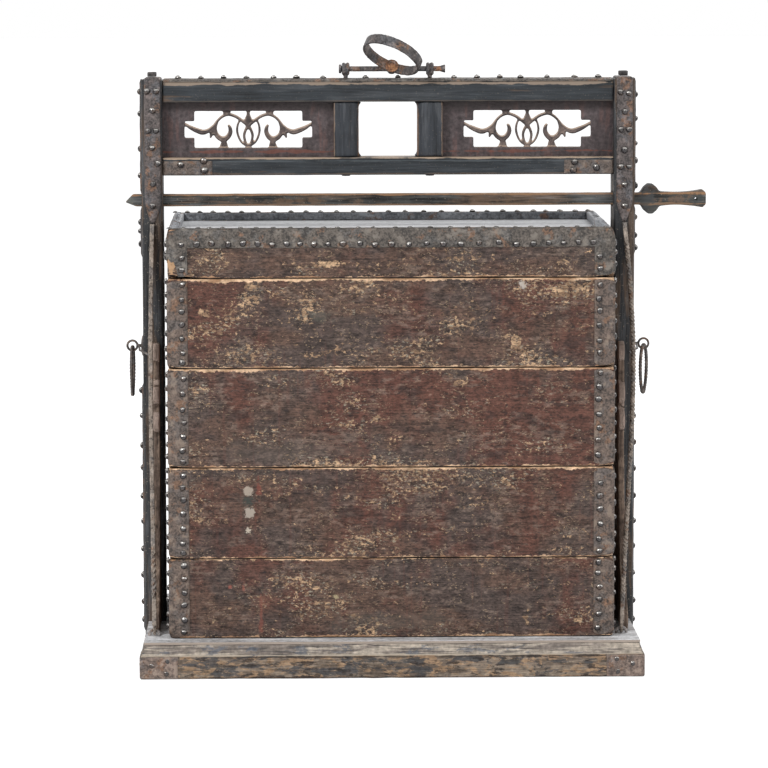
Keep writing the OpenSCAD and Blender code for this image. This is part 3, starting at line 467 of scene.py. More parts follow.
# Where each tier's lacquer is off: middle, width and height in pixels of the photograph, and how much of it is gone
CHIPS = [
    [(350, 602, 150, 5, 0.85), (430, 603, 130, 4, 0.7), (350, 616, 150, 4, 0.7), (566, 582, 11, 8, 2.2),
     (550, 580, 9, 7, 1.8), (577, 620, 12, 8, 1.8), (527, 617, 11, 26, 1.4), (290, 566, 60, 8, 0.6)],
    [(227, 521.5, 12, 8, 2.2), (199, 520.7, 10, 7, 2.0), (395, 517, 18, 7, 1.6), (407, 535, 16, 14, 0.8),
     (455, 500, 120, 30, 0.25), (300, 530, 70, 16, 0.45)],
    [(460, 383, 18, 12, 2.2), (345, 382, 30, 10, 0.9), (378, 419, 11, 8, 2.0), (397, 440, 30, 22, 0.9),
     (525, 416, 24, 10, 1.2)],
    [(232, 308, 70, 18, 1.3), (252, 300, 26, 12, 0.9), (540, 313, 44, 10, 1.7), (558, 290, 26, 12, 1.3),
     (335, 352, 46, 12, 1.6), (300, 305, 60, 40, 0.5), (312, 355, 26, 9, 2.2), (518, 335, 60, 30, 0.45),
     (470, 330, 70, 40, 0.3), (250, 288, 18, 10, 2.0), (204, 313, 16, 9, 2.4), (516, 344, 12, 12, 2.0)],
    [(360, 264, 200, 8, 0.9), (240, 262, 90, 10, 0.8), (430, 258, 120, 5, 1.3), (330, 264, 34, 7, 1.8),
     (565, 262, 60, 6, 0.8)],
]
# Other marks on each tier: place and size as above, tint, share and softness
SPOTS = [
    [(230, 587, 3.5, 3.5, (168, 96, 84), 0.7, 0.6), (243.7, 588, 3, 8, (158, 92, 78), 0.6, 0.6),
     (336, 597, 5, 4, (190, 174, 138), 0.8, 0.6), (261, 616, 3.5, 34, (140, 80, 68), 0.55, 0.9),
     (263, 600, 8, 10, (138, 96, 80), 0.4, 0.9), (390, 622, 90, 14, (106, 98, 90), 0.3, 1.0)],
    [(248.3, 491.2, 10, 10, (182, 168, 154), 0.85, 0.25), (249.5, 513.1, 10, 10, (184, 172, 160), 0.85, 0.25),
     (248, 501.6, 9, 10, (58, 68, 64), 0.7, 0.7), (248, 530.7, 5, 5, (206, 194, 178), 0.9, 0.6),
     (259, 488, 4, 16, (140, 78, 66), 0.6, 0.8)],
    [(300, 452, 160, 14, (108, 98, 90), 0.25, 1.0)],
    [(523, 285, 6, 8, (206, 196, 186), 0.85, 0.6), (320, 317, 20, 9, (116, 116, 106), 0.3, 1.0)],
    [(170.5, 265, 10, 14, (196, 158, 122), 0.95, 0.3)],
]
FRONT_PX = 0.000875    # half a pixel of the photograph, in metres, at the tiers' front


def on_front(px, py, wide, high):
    """The middle and the half sizes, in metres, of a mark on the tiers' front that is given in pixels."""
    p = at(px, py, FRONT)
    return p.x, p.z, wide * FRONT_PX, high * FRONT_PX


def lacquer(t, name, red, grey, limit, tone, rim, streaks=0.12):
    """Dark brown lacquer on softwood: mottled, scuffed, chipped to the tan wood, bare along its edges.
    t is the tier's number; the lower the limit, the more of the surface has lost its lacquer."""
    seed = 21.0 + t
    m = Nodes(name, seed)
    along = m.scaled(0.62, 0.62, 1.35)
    small = m.field(85, 3, along)
    fine = m.field(300, 6, along, 3)
    grain = m.field(1, 9, m.scaled(10, 10, 430), 3)
    m.colour = m.mix(m.step(m.field(9, 0, along), -0.9, 0.9), (84, 71, 66), (96, 75, 65))
    zone = m.field(5.5, 11, m.scaled(1.3, 1.3, 0.8))
    m.cover(zone, 0.2 - 1.4 * red, 2.0 - 1.4 * red, (96, 62, 52), 0.85)
    scuff = m.sum((m.field(20, 12, along, 6, 0.66), 0.8), (small, 0.6))
    m.cover(scuff, 1.5 - 1.6 * grey, 2.4 - 1.6 * grey, (116, 101, 91), 0.5)
    dirt = m.field(30, 14, along, 6, 0.64)
    m.cover(dirt, 0.5, 1.8, (58, 50, 48), 0.55)
    m.shade(m.sum((small, 0.16), (fine, 0.19), (grain, 0.12), tone))
    flow = m.field(1, 17, m.scaled(115, 115, 5.0), 3, 0.5)
    m.cover(flow, 1.3, 2.0, (124, 68, 56), streaks)
    # chips, in clusters and at their places
    cluster = m.field(13, 21, along, 3, 0.55)
    flake = m.field(130, 24, m.scaled(0.85, 0.85, 1.2), 6, 0.72, 0.3)
    edge, top, foot = m.attribute(), m.attribute("up"), m.attribute("low")
    lack = m.sum((flake, 0.78), (cluster, 0.62), (edge, 0.35))
    for *place, share in CHIPS[t]:
        lack = m.sum((m.step(m.away(*on_front(*place), -FRONT), 1.3, 0.3), share), (lack, 1.0))
    chip = m.step(lack, limit - 0.05, limit + 0.40)
    halo = m.step(lack, limit - 0.75, limit, 0, 0.45)
    wood = m.mix(m.step(m.field(60, 27, along, 5), -1.2, 1.2), (148, 120, 96), (208, 174, 140))
    wood = m.dim(wood, m.sum((fine, 0.13), (grain, 0.08), 1.0))
    m.over(halo, (112, 92, 79))
    m.over(chip, wood)
    speck = m.step(m.field(330, 15, along, 2, 0.5), 1.5, 1.9, 0, 0.75)
    m.over(m.math("MULTIPLY", speck, m.step(m.field(24, 16, None, 2, 0.5), -0.2, 1.0)), (164, 142, 118))
    m.cover(m.field(260, 18, along, 2, 0.5), 1.6, 2.0, (44, 38, 38), 0.8)
    pale_spot = m.math("MULTIPLY", m.step(m.field(210, 19, along, 3), 1.3, 1.8, 0, 0.8), m.step(cluster, 0.2, 1.4))
    m.over(pale_spot, (172, 164, 146))
    m.marks([on_front(*spot[:4]) + spot[4:] for spot in SPOTS[t]], 40, -FRONT)
    # bare wood along the upper edge, a thin bare line along the lower one, and painted shade in the seam at the very
    # foot
    wave = m.field(1, 30, m.scaled(17, 17, 17), 3)
    nick = m.field(150, 31, None, 3)
    ledge = m.sum((wave, 0.10), (nick, 0.06), (top, 1.0))
    bare = m.step(ledge, 1.0 - 0.30 * rim, 1.05 - 0.30 * rim)
    other = m.field(1, 33, m.scaled(24, 24, 24), 3)
    sill = m.math("MULTIPLY", m.step(m.sum((other, 0.09), (nick, 0.05), (foot, 1.0)), 0.72, 0.77), 0.85)
    pale = m.dim(m.mix(m.step(m.field(34, 34, along), -1, 1), (170, 132, 102), (226, 190, 156)),
                 m.sum((small, 0.10), (fine, 0.10), 1.0))
    m.over(m.math("MAXIMUM", bare, sill), pale)
    # nearly black at the very foot: painted shade in the seam to the tier below
    m.cover(m.sum((foot, 1.0), (nick, 0.015)), 0.84, 0.87, (16, 11, 9))
    # painted shade on the downward faces
    m.cover(m.facing("Z"), -0.35, -0.75, (34, 28, 25))
    relief = m.sum((fine, 0.12), (grain, 0.12), (m.math("MAXIMUM", chip, bare), -0.6), (dirt, 0.08))
    normal = m.bump(relief, 0.0010, 0.7)
    rough = m.math("ADD", m.math("MULTIPLY", chip, 0.25), m.step(dirt, -1.5, 1.5, 0.48, 0.64))
    return m.done(rough, normal, specular=0.25)


def stretched(m, axis, length, width, factor=1.0):
    """Places for noise that is drawn out along a board's length, for its grain."""
    return m.scaled(*[factor * (length if name == axis else width) for name in "xyz"])


def black_paint(name, seed, axis, tone, dust, brown, edge, bands=(), marks=(), contrast=1.0, specks=0.7, along="Z"):
    """Blue-black lacquer on the frame: grain lines, dust, brown where thin, tan along its edges."""
    m = Nodes(name, seed)
    line = m.field(1, 0, stretched(m, axis, 6, 70), 5)
    thin = m.field(1, 2, stretched(m, axis, 16, 330), 3, 0.55)
    patch = m.field(19, 4, None, 5, 0.62)
    m.colour = tone
    thinner = m.field(1, 6, stretched(m, axis, 6, 70, 0.6), 5, 0.62)
    m.cover(thinner, 1.1 - 2.2 * brown, 2.3 - 2.2 * brown, (96, 80, 68), 0.85)
    m.cover(line, 0.7, 1.7, (92, 94, 97), dust)
    m.shade(m.sum((line, 0.10 * contrast), (thin, 0.12 * contrast), (patch, 0.09 * contrast), 1.0))
    m.cover(m.field(310, 10, None, 2, 0.5), 1.9, 2.3, (142, 132, 120), specks)
    for i, (z, half, tint, share) in enumerate(bands):
        m.band(z, half, tint, share, 0.35, 20 + i, along)
    rub = m.sum((m.field(1, 8, stretched(m, axis, 6, 70, 0.5)), 0.14), (patch, 0.08), (m.attribute(), 1.0))
    bare = m.step(rub, 0.72, 0.90, 0, edge)
    m.over(bare, m.mix(m.step(thin, -1, 1), (138, 110, 86), (190, 158, 126)))
    m.marks(marks, 40)
    relief = m.sum((thin, 0.2), (line, 0.12), (bare, -0.4))
    return m.done(m.step(patch, -1.5, 1.5, 0.46, 0.66), m.bump(relief, 0.0010, 0.6), specular=0.25)


def old_iron(name, seed, base, light, dark, rust, gloss=0.0, marks=(), cool=(88, 92, 98), edge=0.25, contrast=1.0):
    """Hand-forged iron with brown rust, blue-grey scale, pits and rubbed edges."""
    m = Nodes(name, seed)
    blotch = m.field(70, 0, None, 5, 0.62)
    speck = m.field(290, 2, None, 3)
    m.colour = base
    m.cover(m.field(24, 4, None, 5, 0.62), 0.2, 1.2, cool, 0.45)
    m.cover(m.field(34, 6, None, 6, 0.66), 1.2 - 1.6 * rust, 2.2 - 1.6 * rust, (122, 92, 72), 0.8)
    m.shade(m.sum((blotch, 0.20 * contrast), (speck, 0.19 * contrast), 1.0))
    m.cover(blotch, 0.9, 2.0, light, 0.7)
    m.cover(m.sum((blotch, -0.6), (speck, -0.8)), 1.1, 1.7, dark, 0.75)
    rub = m.sum((m.field(90, 8), 0.15), (m.attribute(), 1.0))
    m.cover(rub, 0.65, 0.95, light, edge)
    m.marks(marks, 40)
    normal = m.bump(m.sum((blotch, 0.18), (speck, 0.10)), 0.0014, 0.8)
    return m.done(m.step(blotch, -1.5, 1.5, 0.50 - gloss, 0.68 - gloss), normal, metallic=0.2)


def bare_wood(name, seed, tones, dirt, axis="x", edge=0.5, contrast=1.0, lip=None, bands=()):
    """Weathered wood with open grain and dust. tones are its lighter, middle and dirty colour."""
    m = Nodes(name, seed)
    rings = m.field(1, 0, stretched(m, axis, 5, 50), 5, 0.6, 0.5)
    fibre = m.field(1, 2, stretched(m, axis, 18, 430), 3)
    m.colour = m.mix(m.step(rings, -1, 1), tones[1], tones[0])
    m.cover(m.field(24, 4, m.scaled(0.7, 1, 1.4), 6, 0.66, 0.4), 0.6, 1.5, tones[2], dirt)
    small = m.field(120, 5, None, 3)
    m.shade(m.sum((rings, 0.08 * contrast), (fibre, 0.12 * contrast), (small, 0.10 * contrast), 1.0))
    for i, (z, half, tint, share) in enumerate(bands):
        m.band(z, half, m.dim(m.mix(1.0, tint, tint), m.sum((fibre, 0.12), 1.0)), share, 0.25, 20 + i)
    rub = m.sum((m.field(60, 8), 0.16), (m.attribute(), 1.0))
    m.cover(rub, 0.55, 0.95, tuple(min(int(v * 1.35), 235) for v in tones[0]), edge)
    if lip:
        m.cover(m.math("ABSOLUTE", m.facing("Y")), 0.5, 0.9, lip)
    return m.done(0.72, m.bump(m.sum((fibre, 0.2), (rings, 0.15)), 0.0012, 0.7), specular=0.25)


def stand_wood(name, seed, axis):
    """The base's rails: grey-brown wood with tan and blue-black remains of paint, and its worn mouldings."""
    m = Nodes(name, seed)

    def turned(x, y, z):
        return m.scaled(x, y, z) if axis == "x" else m.scaled(y, x, z)

    rings = m.field(1, 0, turned(7, 60, 60), 5, 0.62, 1.2)
    fibre = m.field(1, 2, turned(20, 440, 440), 3)
    swirl = m.field(44, 4, turned(0.6, 1, 1.5), 6, 0.68, 1.1)
    paint = m.field(36, 6, turned(0.5, 1, 1.4), 6, 0.70, 0.9)
    m.colour = m.mix(m.step(rings, -1, 1), (112, 99, 88), (150, 135, 120))
    m.cover(swirl, 0.0, 1.0, (176, 145, 115), 0.8)
    m.cover(paint, 0.2, 1.0, (76, 77, 80), 0.85)
    m.cover(m.field(60, 8, turned(0.5, 1, 1.6), 5), 1.0, 1.5, (58, 52, 50), 0.8)
    # the sloping face is greyer, with dark dashes along it
    dashes = m.field(1, 10, turned(14, 260, 260), 3)
    slope = m.mix(m.step(rings, -1, 1), (142, 132, 124), (192, 180, 166))
    slope = m.mix(m.step(dashes, 0.75, 1.2, 0, 0.75), slope, (88, 84, 84))
    slope = m.mix(m.step(paint, 0.9, 1.5, 0, 0.7), slope, (104, 110, 120))
    m.cover(m.axis("Z"), 0.0402, 0.0412, slope)
    m.shade(m.sum((fibre, 0.12), (m.field(130, 12, None, 3), 0.12), 1.0))
    m.band(0.0412, 0.0011, (196, 182, 164), 0.85, 0.3, 20)
    m.band(0.0382, 0.0010, (62, 54, 50), 0.75, 0.6, 21)
    # painted shadow along the foot, where the base meets the floor
    m.band(0.0012, 0.0016, (52, 42, 38), 0.85, 0.5, 22)
    rub = m.sum((m.field(60, 14), 0.16), (m.attribute(), 1.0))
    m.cover(rub, 0.7, 1.0, (190, 174, 154), 0.35)
    return m.done(0.72, m.bump(m.sum((fibre, 0.2), (rings, 0.15), (swirl, 0.12)), 0.0014, 0.8), specular=0.25)


def carved_wood(name, seed):
    """Red-brown lacquered panels: dark in the recess, with a painted shadow of the top rail across its upper part and
    painted shade on downward faces; painted light along the carving's upward edges.
    """
    m = Nodes(name, seed)
    patch = m.field(26, 0, None, 5, 0.62)
    small = m.field(150, 2, None, 3)
    grain = m.field(1, 4, m.scaled(60, 60, 9))
    m.colour = m.mix(m.step(patch, -1, 1), (70, 60, 61), (84, 75, 76))
    m.cover(grain, 0.8, 2.0, (94, 66, 60), 0.4)
    m.shade(m.sum((small, 0.15), (grain, 0.12), 0.98))
    m.band(0.9052, 0.0018, (122, 72, 58), 0.6, 0.6, 20)
    # painted shadow of the top rail across the panels' upper part
    m.cover(m.axis("Z"), 0.970, 0.990, (44, 36, 36), 0.65)
    scroll = m.attribute("up")
    raised = m.mix(m.step(patch, -1, 1), (80, 70, 67), (116, 102, 95))
    m.over(m.math("MULTIPLY", scroll, 0.75), m.dim(raised, m.sum((small, 0.16), (patch, 0.10), 1.0)))
    # painted light on the upward faces of the scrolls and of the worn edges
    either = m.math("MAXIMUM", scroll, m.math("MULTIPLY", m.attribute(), 0.6))
    top = m.math("MULTIPLY", m.step(m.facing("Z"), 0.05, 0.6), either)
    m.over(m.math("MULTIPLY", top, 0.9), (206, 182, 162))
    # painted shade on the downward faces
    m.cover(m.facing("Z"), -0.2, -0.7, (46, 38, 38), 0.7)
    relief = m.sum((small, 0.12), (grain, 0.1))
    return m.done(m.step(patch, -1.5, 1.5, 0.42, 0.60), m.bump(relief, 0.0010, 0.6), specular=0.35)


def nail_iron(name, seed):
    """Dark dome heads with a black rim of painted shade at their foot, and a painted highlight on their upper side.
    """
    m = Nodes(name, seed)
    blotch = m.field(210, 0, None, 3)
    # the black rim where a head meets the iron is painted shade
    m.colour = m.mix(m.step(m.attribute(), 0.15, 0.75), (20, 16, 15), (74, 71, 71))
    m.cover(m.field(60, 2, None, 3), 0.4, 1.4, (92, 74, 62), 0.5)
    m.cover(m.field(36, 3, None, 2, 0.5), -0.4, -1.4, (58, 56, 58), 0.5)
    m.shade(m.sum((blotch, 0.12), 1.0))
    # painted highlight on the upper side of a head, stronger on some than on others
    rubbed = m.step(m.sum((m.field(75, 5, None, 2, 0.5), 0.10), (m.facing("Z"), 1.0)), 0.22, 0.50)
    sideways = m.step(m.facing("Z"), 0.90, 0.72)
    m.over(m.math("MULTIPLY", m.math("MULTIPLY", rubbed, sideways), 0.8), (196, 192, 187))
    return m.done(m.step(blotch, -1.5, 1.5, 0.14, 0.26), m.bump(blotch, 0.0002, 0.4), metallic=0.6)


def in_line(px, py, height, *mark):
    """A mark on a rail, by its place across the photograph and its height in metres."""
    return (at(px, py, 0).x, height, *mark)


ROD_MARKS = [in_line(356, 70, 1.052, 0.007, 0.008, (132, 98, 76), 0.6, 0.8),
             in_line(438, 70, 1.052, 0.006, 0.008, (160, 112, 78), 0.8, 0.6)]
BAR_MARKS = [in_line(674, 197, 0.819, 0.022, 0.006, (134, 106, 86), 0.5, 0.9),
             in_line(646, 197, 0.819, 0.016, 0.022, (70, 72, 73), 0.75, 0.5),
             in_line(697, 197, 0.819, 0.010, 0.011, (64, 68, 68), 0.7, 0.7),
             in_line(300, 198, 0.817, 0.070, 0.006, (122, 98, 78), 0.6, 1.0),
             in_line(500, 198, 0.818, 0.050, 0.005, (116, 94, 76), 0.6, 1.0),
             in_line(129, 199, 0.819, 0.008, 0.008, (110, 112, 104), 0.6, 0.8)]
# Painted light on the brackets' lobes, where their faces turn to the light: height, half width, tint and share
LOBE_HIGHLIGHTS = [(at(155, py, -0.05).z, half, (184, 164, 152), 0.9)
         for py, half in ((351, 0.018), (392, 0.020), (420, 0.018))]

# Lines along the rails: height, half width, tint and share
TOP_LINES = [(1.0272, 0.0023, (164, 146, 130), 0.85), (0.9958, 0.0009, (108, 98, 90), 0.6)]
LOW_LINES = [(0.8948, 0.0014, (190, 168, 146), 0.85), (0.8895, 0.0012, (96, 102, 106), 0.65),
             (0.8665, 0.0010, (112, 96, 82), 0.6)]
STILE_LINES = [(0.0962, 0.0012, (150, 128, 110), 0.75), (0.0528, 0.0011, (128, 96, 74), 0.75)]
BAR_LINES = [(0.8285, 0.0014, (168, 128, 94), 0.8), (0.8098, 0.0014, (146, 116, 90), 0.75)]

# Lighter, middle and dirty wood
DECK_TONES = (226, 226, 228), (208, 207, 208), (174, 172, 172)
BRACKET_TONES = (136, 118, 104), (108, 92, 82), (74, 62, 56)
LID_TOP_TONES = (238, 239, 241), (226, 227, 230), (198, 200, 204)
INNER_TONES = (170, 142, 114), (140, 114, 92), (104, 86, 72)

# The record's material slots, with the looks that each has here
slots = {
    "base_paint": {
        "base": stand_wood("base_wood", 1.0, "x"),
        "base_end": stand_wood("base_wood_end", 1.5, "y")},
    "deck_wood": {"deck": bare_wood("deck_dust", 2.0, DECK_TONES, 0.3, lip=(180, 166, 154))},
    "post_lacquer": {"post": black_paint("post_paint", 3.0, "z", (54, 55, 57), 0.40, 0.42, 0.45, contrast=1.3)},
    "rail_lacquer": {
        "rail": black_paint("rail_paint", 4.0, "x", (51, 55, 59), 0.2, -0.25, 0.25, TOP_LINES,
                            contrast=0.9, specks=0.2),
        "low_rail": black_paint("low_rail_paint", 4.5, "x", (53, 57, 61), 0.25, -0.25, 0.2, LOW_LINES,
                                contrast=0.9, specks=0.2),
        "stile": black_paint("stile_paint", 5.0, "z", (55, 58, 63), 0.3, 0.12, 0.7, STILE_LINES,
                             specks=0.2, along="X")},
    "bar_lacquer": {
        "bar": black_paint("bar_paint", 6.0, "x", (66, 66, 64), 0.3, 0.48, 0.6, BAR_LINES, BAR_MARKS, 2.4)},
    "carved_wood": {"carved": carved_wood("carved_lacquer", 7.0)},
    "bracket_wood": {"bracket": bare_wood("bracket_wood", 8.0, BRACKET_TONES, 0.45, "z", 0.25, 1.3, bands=LOBE_HIGHLIGHTS)},
    "lid_top_wood": {"lid_top": bare_wood("lid_top_dust", 9.0, LID_TOP_TONES, 0.3, contrast=0.45)},
    "inner_wood": {"inner": bare_wood("inner_wood", 10.0, INNER_TONES, 0.4)},
    "strap_iron": {
        "iron": old_iron("strap_iron", 11.0, (90, 82, 80), (132, 121, 118), (50, 45, 45), 0.12,
                         edge=0.15, contrast=1.2),
        # a darker copy of the strap iron: painted shade on the posts' sides
        "side_iron": old_iron("side_iron", 11.5, (74, 70, 70), (110, 104, 100), (44, 40, 40), 0.3),
        "nail": nail_iron("nail_iron", 18.0)},
    "sheet_iron": {
        "sheet": old_iron("sheet_iron", 12.0, (104, 90, 82), (144, 129, 116), (58, 50, 46), 0.25,
                          edge=0.12, cool=(94, 92, 92)),
        "rail_sheet": old_iron("rail_sheet_iron", 12.2, (103, 91, 84), (139, 126, 116), (60, 52, 48), 0.15,
                               edge=0.12, contrast=0.7),
        "plate": old_iron("plate_iron", 12.5, (123, 107, 98), (170, 152, 139), (80, 68, 63), 0.3)},
    "lid_iron": {
        "lid_iron": old_iron("lid_iron", 13.0, (93, 86, 80), (134, 127, 119), (52, 48, 45), 0.15,
                             edge=0.2, cool=(92, 92, 92), contrast=1.2),
        "fold": old_iron("fold_iron", 13.3, (134, 137, 142), (170, 174, 180), (94, 95, 100), 0.05, contrast=0.6),
        "dusty": old_iron("dusty_iron", 13.6, (168, 170, 174), (196, 198, 202), (128, 128, 132), 0.05,
                          cool=(150, 154, 160), contrast=0.35)},
    "stay_iron": {
        # the stays' light edges are rubbed iron and also a painted highlight along their twist
        "stay": old_iron("stay_iron", 14.0, (146, 134, 123), (196, 181, 168), (70, 60, 55), 0.2, 0.05,
                         edge=0.6, contrast=0.7),
        "staple": old_iron("staple_iron", 14.5, (170, 162, 158), (222, 214, 208), (104, 92, 86), 0.25, edge=0.6)},
    "ring_iron": {
        "ring": old_iron("ring_iron", 15.0, (92, 84, 80), (150, 138, 130), (48, 44, 42), 0.35, 0.08, edge=0.4)},
    "hanger_iron": {
        "hanger": old_iron("hanger_iron", 16.0, (82, 76, 75), (140, 130, 126), (44, 40, 41), 0.25, 0.1, ROD_MARKS,
                           edge=0.35)},
    "pin_iron": {"pin": old_iron("pin_iron", 17.0, (136, 96, 70), (196, 146, 104), (70, 54, 46), 0.6)},
    "tray_lacquer": {
        "tray_1": lacquer(0, "lacquer_1", 0.25, 0.45, 1.87, 0.95, 0.35),
        "tray_2": lacquer(1, "lacquer_2", 0.40, 0.38, 1.67, 0.93, 0.85),
        "tray_3": lacquer(2, "lacquer_3", 0.60, 0.40, 1.87, 0.97, 0.9),
        "tray_4": lacquer(3, "lacquer_4", 0.52, 0.38, 1.52, 0.92, 1.0)},
    "lid_lacquer": {"lid": lacquer(4, "lacquer_lid", -0.70, 0.45, 1.67, 0.90, 0.4, 0.03)},
}
finish = {look: (slot, material) for slot, looks in slots.items() for look, material in looks.items()}


def coat(ob, look):
    ob.data.materials.clear()
    ob.data.materials.append(finish[look][1])


def finish_piece(ob, body, look, *replaced, slot=None):
    """Gives a piece its look and its body, and hides the nodes that it stands in for; slot is not used."""
    coat(ob, look)
    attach(ob, body)
    if replaced:
        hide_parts(*replaced)


def carve(node, seed):
    """An openwork panel whose flat scrolls get a rounded section with a shallow groove along the wide strokes."""
    ob = aged(node, 0.0013, 2, 0.0002, 0.008, seed)
    vertices = ob.data.vertices
    p, normal = read(vertices, "co"), read(vertices, "normal")
    low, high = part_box(node)
    middle = (low + high) / 2
    wall = np.where((abs(normal[:, 1]) < 0.4) & (abs(p[:, 1]) < 0.0042))[0]
    tree = KDTree(len(wall))
    for i in wall:
        tree.insert((p[i, 0], 0, p[i, 2]), int(i))
    tree.balance()
    x, z = abs(p[:, 0] - middle.x), abs(p[:, 2] - middle.z)
    inside = (abs(p[:, 1]) < 0.0045) & (((x < 0.0955) & (z < 0.0322)) | ((x < 0.1132) & (z < 0.0142)))
    half = 0.0034    # half the width of a narrow stroke
    for i in np.where(inside)[0]:
        from_edge = tree.find((p[i, 0], 0, p[i, 2]))[2]
        t = min(from_edge / half, 1)
        groove = max(0, min((from_edge - half) / 0.0010, 1))
        p[i, 1] *= 0.34 + 0.66 * math.sqrt(1 - (1 - t) ** 2) - 0.22 * groove
    vertices.foreach_set("co", p.ravel())
    store(ob.data, "up", inside)
    ob.data.update()
    finish_piece(ob, "stand", "carved", node)


# Stand: nodes, look, voxel, rounds of smoothing, depth and size of the dents
WORN = [
    ("base_rail_front base_rail_back", "base", 0.0030, 2, 0.0005, 0.03),
    ("base_rail_left base_rail_right", "base_end", 0.0030, 2, 0.0005, 0.03),
    ("post_left post_right", "post", 0.0030, 2, 0.0004, 0.05),
    ("top_rail", "rail", 0.0028, 1, 0.0003, 0.05),
    ("lower_rail", "low_rail", 0.0024, 1, 0.0003, 0.05),
    ("window_stiles", "stile", 0.0022, 2, 0.0003, 0.02),
    *[row for part in ("front_left", "front_right", "back_left", "back_right")
      for row in (("bracket_" + part, "bracket", 0.0018, 5, 0.0004, 0.02),
                  ("stay_" + part, "stay", 0.0010, 1, 0.0002, 0.02))],
    ("post_pins", "side_iron", 0.0011, 3, 0.0003, 0.02),
    ("deck_staples", "staple", 0.0009, 2, 0.0003, 0.02),
    ("ring_domes", "ring", 0.0012, 2, 0.0003, 0.02),
    ("ring_eye_left ring_eye_right", "ring", 0.0008, 2, 0.0001, 0.02),
    ("eye_bolts", "hanger", 0.0009, 2, 0.0002, 0.006),
    ("hanger_rod", "hanger", 0.0008, 2, 0.0002, 0.006),
    ("swivel_pin", "pin", 0.0008, 2, 0.0002, 0.005),
    ("carrying_ring", "hanger", 0.0013, 2, 0.0003, 0.012),
    ("lock_bar", "bar", 0.0018, 4, 0.0004, 0.03),
]
# The body of those that aren't the stand's
MOVING = {"hanger_rod": "hanger", "swivel_pin": "hanger", "carrying_ring": "ring", "lock_bar": "lock_bar"}
for names, look, *wear in WORN:
    for node in names.split():
        finish_piece(aged(node, *wear, seed=len(node)), MOVING.get(node, "stand"), look, node)
carve("panel_left", 31)
carve("panel_right", 32)
coat(nodes["base_bearer"], "deck")
coat(nodes["deck_boards"], "deck")


# Tiers
# How each tier's long boards are worn from below: middle, half width and height
BITES = [(), ((-0.384, 0.030, 0.0022), (0.384, 0.020, 0.0016), (0.05, 0.10, 0.0007)),
         ((-0.384, 0.040, 0.0030), (0.384, 0.025, 0.0022), (-0.16, 0.12, 0.0008)),
         ((-0.384, 0.030, 0.0024), (0.384, 0.040, 0.0030), (0.12, 0.14, 0.0006)),
         ((-0.384, 0.070, 0.0060), (0.384, 0.036, 0.0044), (0.20, 0.16, 0.0009))]
LID_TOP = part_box("lid_long_boards")[1].z


def leaning(points):
    """The lid's ends lean in over their topmost 17 mm, mostly at the front."""
    p = np.array(points, float)
    upper = np.clip((p[:, 2] - LID_TOP + 0.017) / 0.017, 0, 1.1) ** 1.4
    share = upper * np.clip((abs(p[:, 0]) - 0.350) / 0.030, 0, 1)
    p[:, 0] -= np.where(p[:, 0] < 0, -0.0030, 0.0055) * share * np.clip((0.20 - p[:, 1]) / 0.40, 0, 1)
    return p


def piece(name, body, look, parts, *replaced):
    """One piece made of several parts; those of the lid lean in."""
    p, f, w = merged(parts)
    finish_piece(make(name, leaning(p) if body == "lid" else p, f, w), body, look, *replaced)


TIERS = ["tray_1", "tray_2", "tray_3", "tray_4", "lid"]
GROOVE = (0.3754, 0.3825, 0.0038)             # over the tongues of the tier below: from, to, height
CUTS = (0.3751, 0.3756, 0.3823, 0.3828)       # on both sides of the groove's edges
TONGUE = (0.376, 0.382)
for t, tier in enumerate(TIERS):
    lid = tier == "lid"
    low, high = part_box(tier + "_long_boards")
    thick = (16 if lid else 12) * MM
    groove, cuts = (GROOVE, CUTS) if t else (None, ())
    front = worn((low.x, low.y, low.z), (high.x, low.y + thick, high.z), 0.0026, 50 + t, 0.009,
                 corner=0.0026, bites=BITES[t])
    back = worn((low.x, high.y - thick, low.z), (high.x, high.y, high.z), 0.0026, 60 + t, 0.010, groove,
                [s * v for s in (-1, 1) for v in cuts], 0.0026, [(-x, w * 0.8, h * 0.7) for x, w, h in BITES[t]])
    piece(tier + "_front_and_back", tier, tier, [front, back], tier + "_long_boards")
    parts = []
    for s in (-1, 1):
        x0, x1 = sorted((s * (high.x - thick), s * high.x))
        parts.append(worn((x0, low.y + thick, low.z), (x1, high.y - thick, high.z), 0.0024, 70 + 2 * t + s, 0.010,
                          groove, [s * v for v in cuts[2:]]))
        if not lid:
            x0, x1 = sorted(s * v for v in TONGUE)
            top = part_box(tier + "_end_boards")[1].z
            parts.append(worn((x0, low.y + 0.0163, high.z - 0.001), (x1, high.y - 0.0163, top), 0.0008, 80 + t, 0.02))
    piece(tier + "_ends", tier, tier, parts, tier + "_end_boards")
    coat(nodes["lid_top_board" if lid else tier + "_bottom"], "lid_top" if lid else "inner")

# Irons on the tiers' corners, with their nails: heights in the photograph on the left and on the right
TRAY_NAILS = [
    ((564.5, 578, 592, 604, 619, 632), (560.7, 574, 588, 600, 615, 629)),
    ((475, 487, 499, 513, 527.6, 542.5, 554), (484, 497, 510, 525, 540, 553)),
    ((378, 393, 409, 422, 436, 449.5, 461), (374, 388, 400, 415.5, 429, 441, 456)),
    ((284, 299, 311, 324, 338, 352.5, 363), (286, 299.7, 311.7, 326.4, 341.9, 353.9)),
]
LID_FRONT_NAILS = (181, 196.6, 211.4, 228, 243, 257.6, 272, 286.6, 300, 314, 328, 343, 360, 375, 391.5, 409, 426.9,
                   443.3, 460.8, 479, 499, 516.5, 533.4, 548.8, 563.7, 578.5, 593.4)
LID_REAR_NAILS = (175.5, 187.5, 200, 213, 228, 241.7, 258.4, 273.6, 291, 306, 320.6, 336.9, 353.3, 369.7, 388.5,
                  405.2, 423.9, 441.4, 457, 472.4, 487, 502.7, 517.3, 533.4, 545.8, 560, 575, 588)
IRON = 0.035      # width of a corner iron on each side
EDGE = 0.033      # height of the lid's edge irons


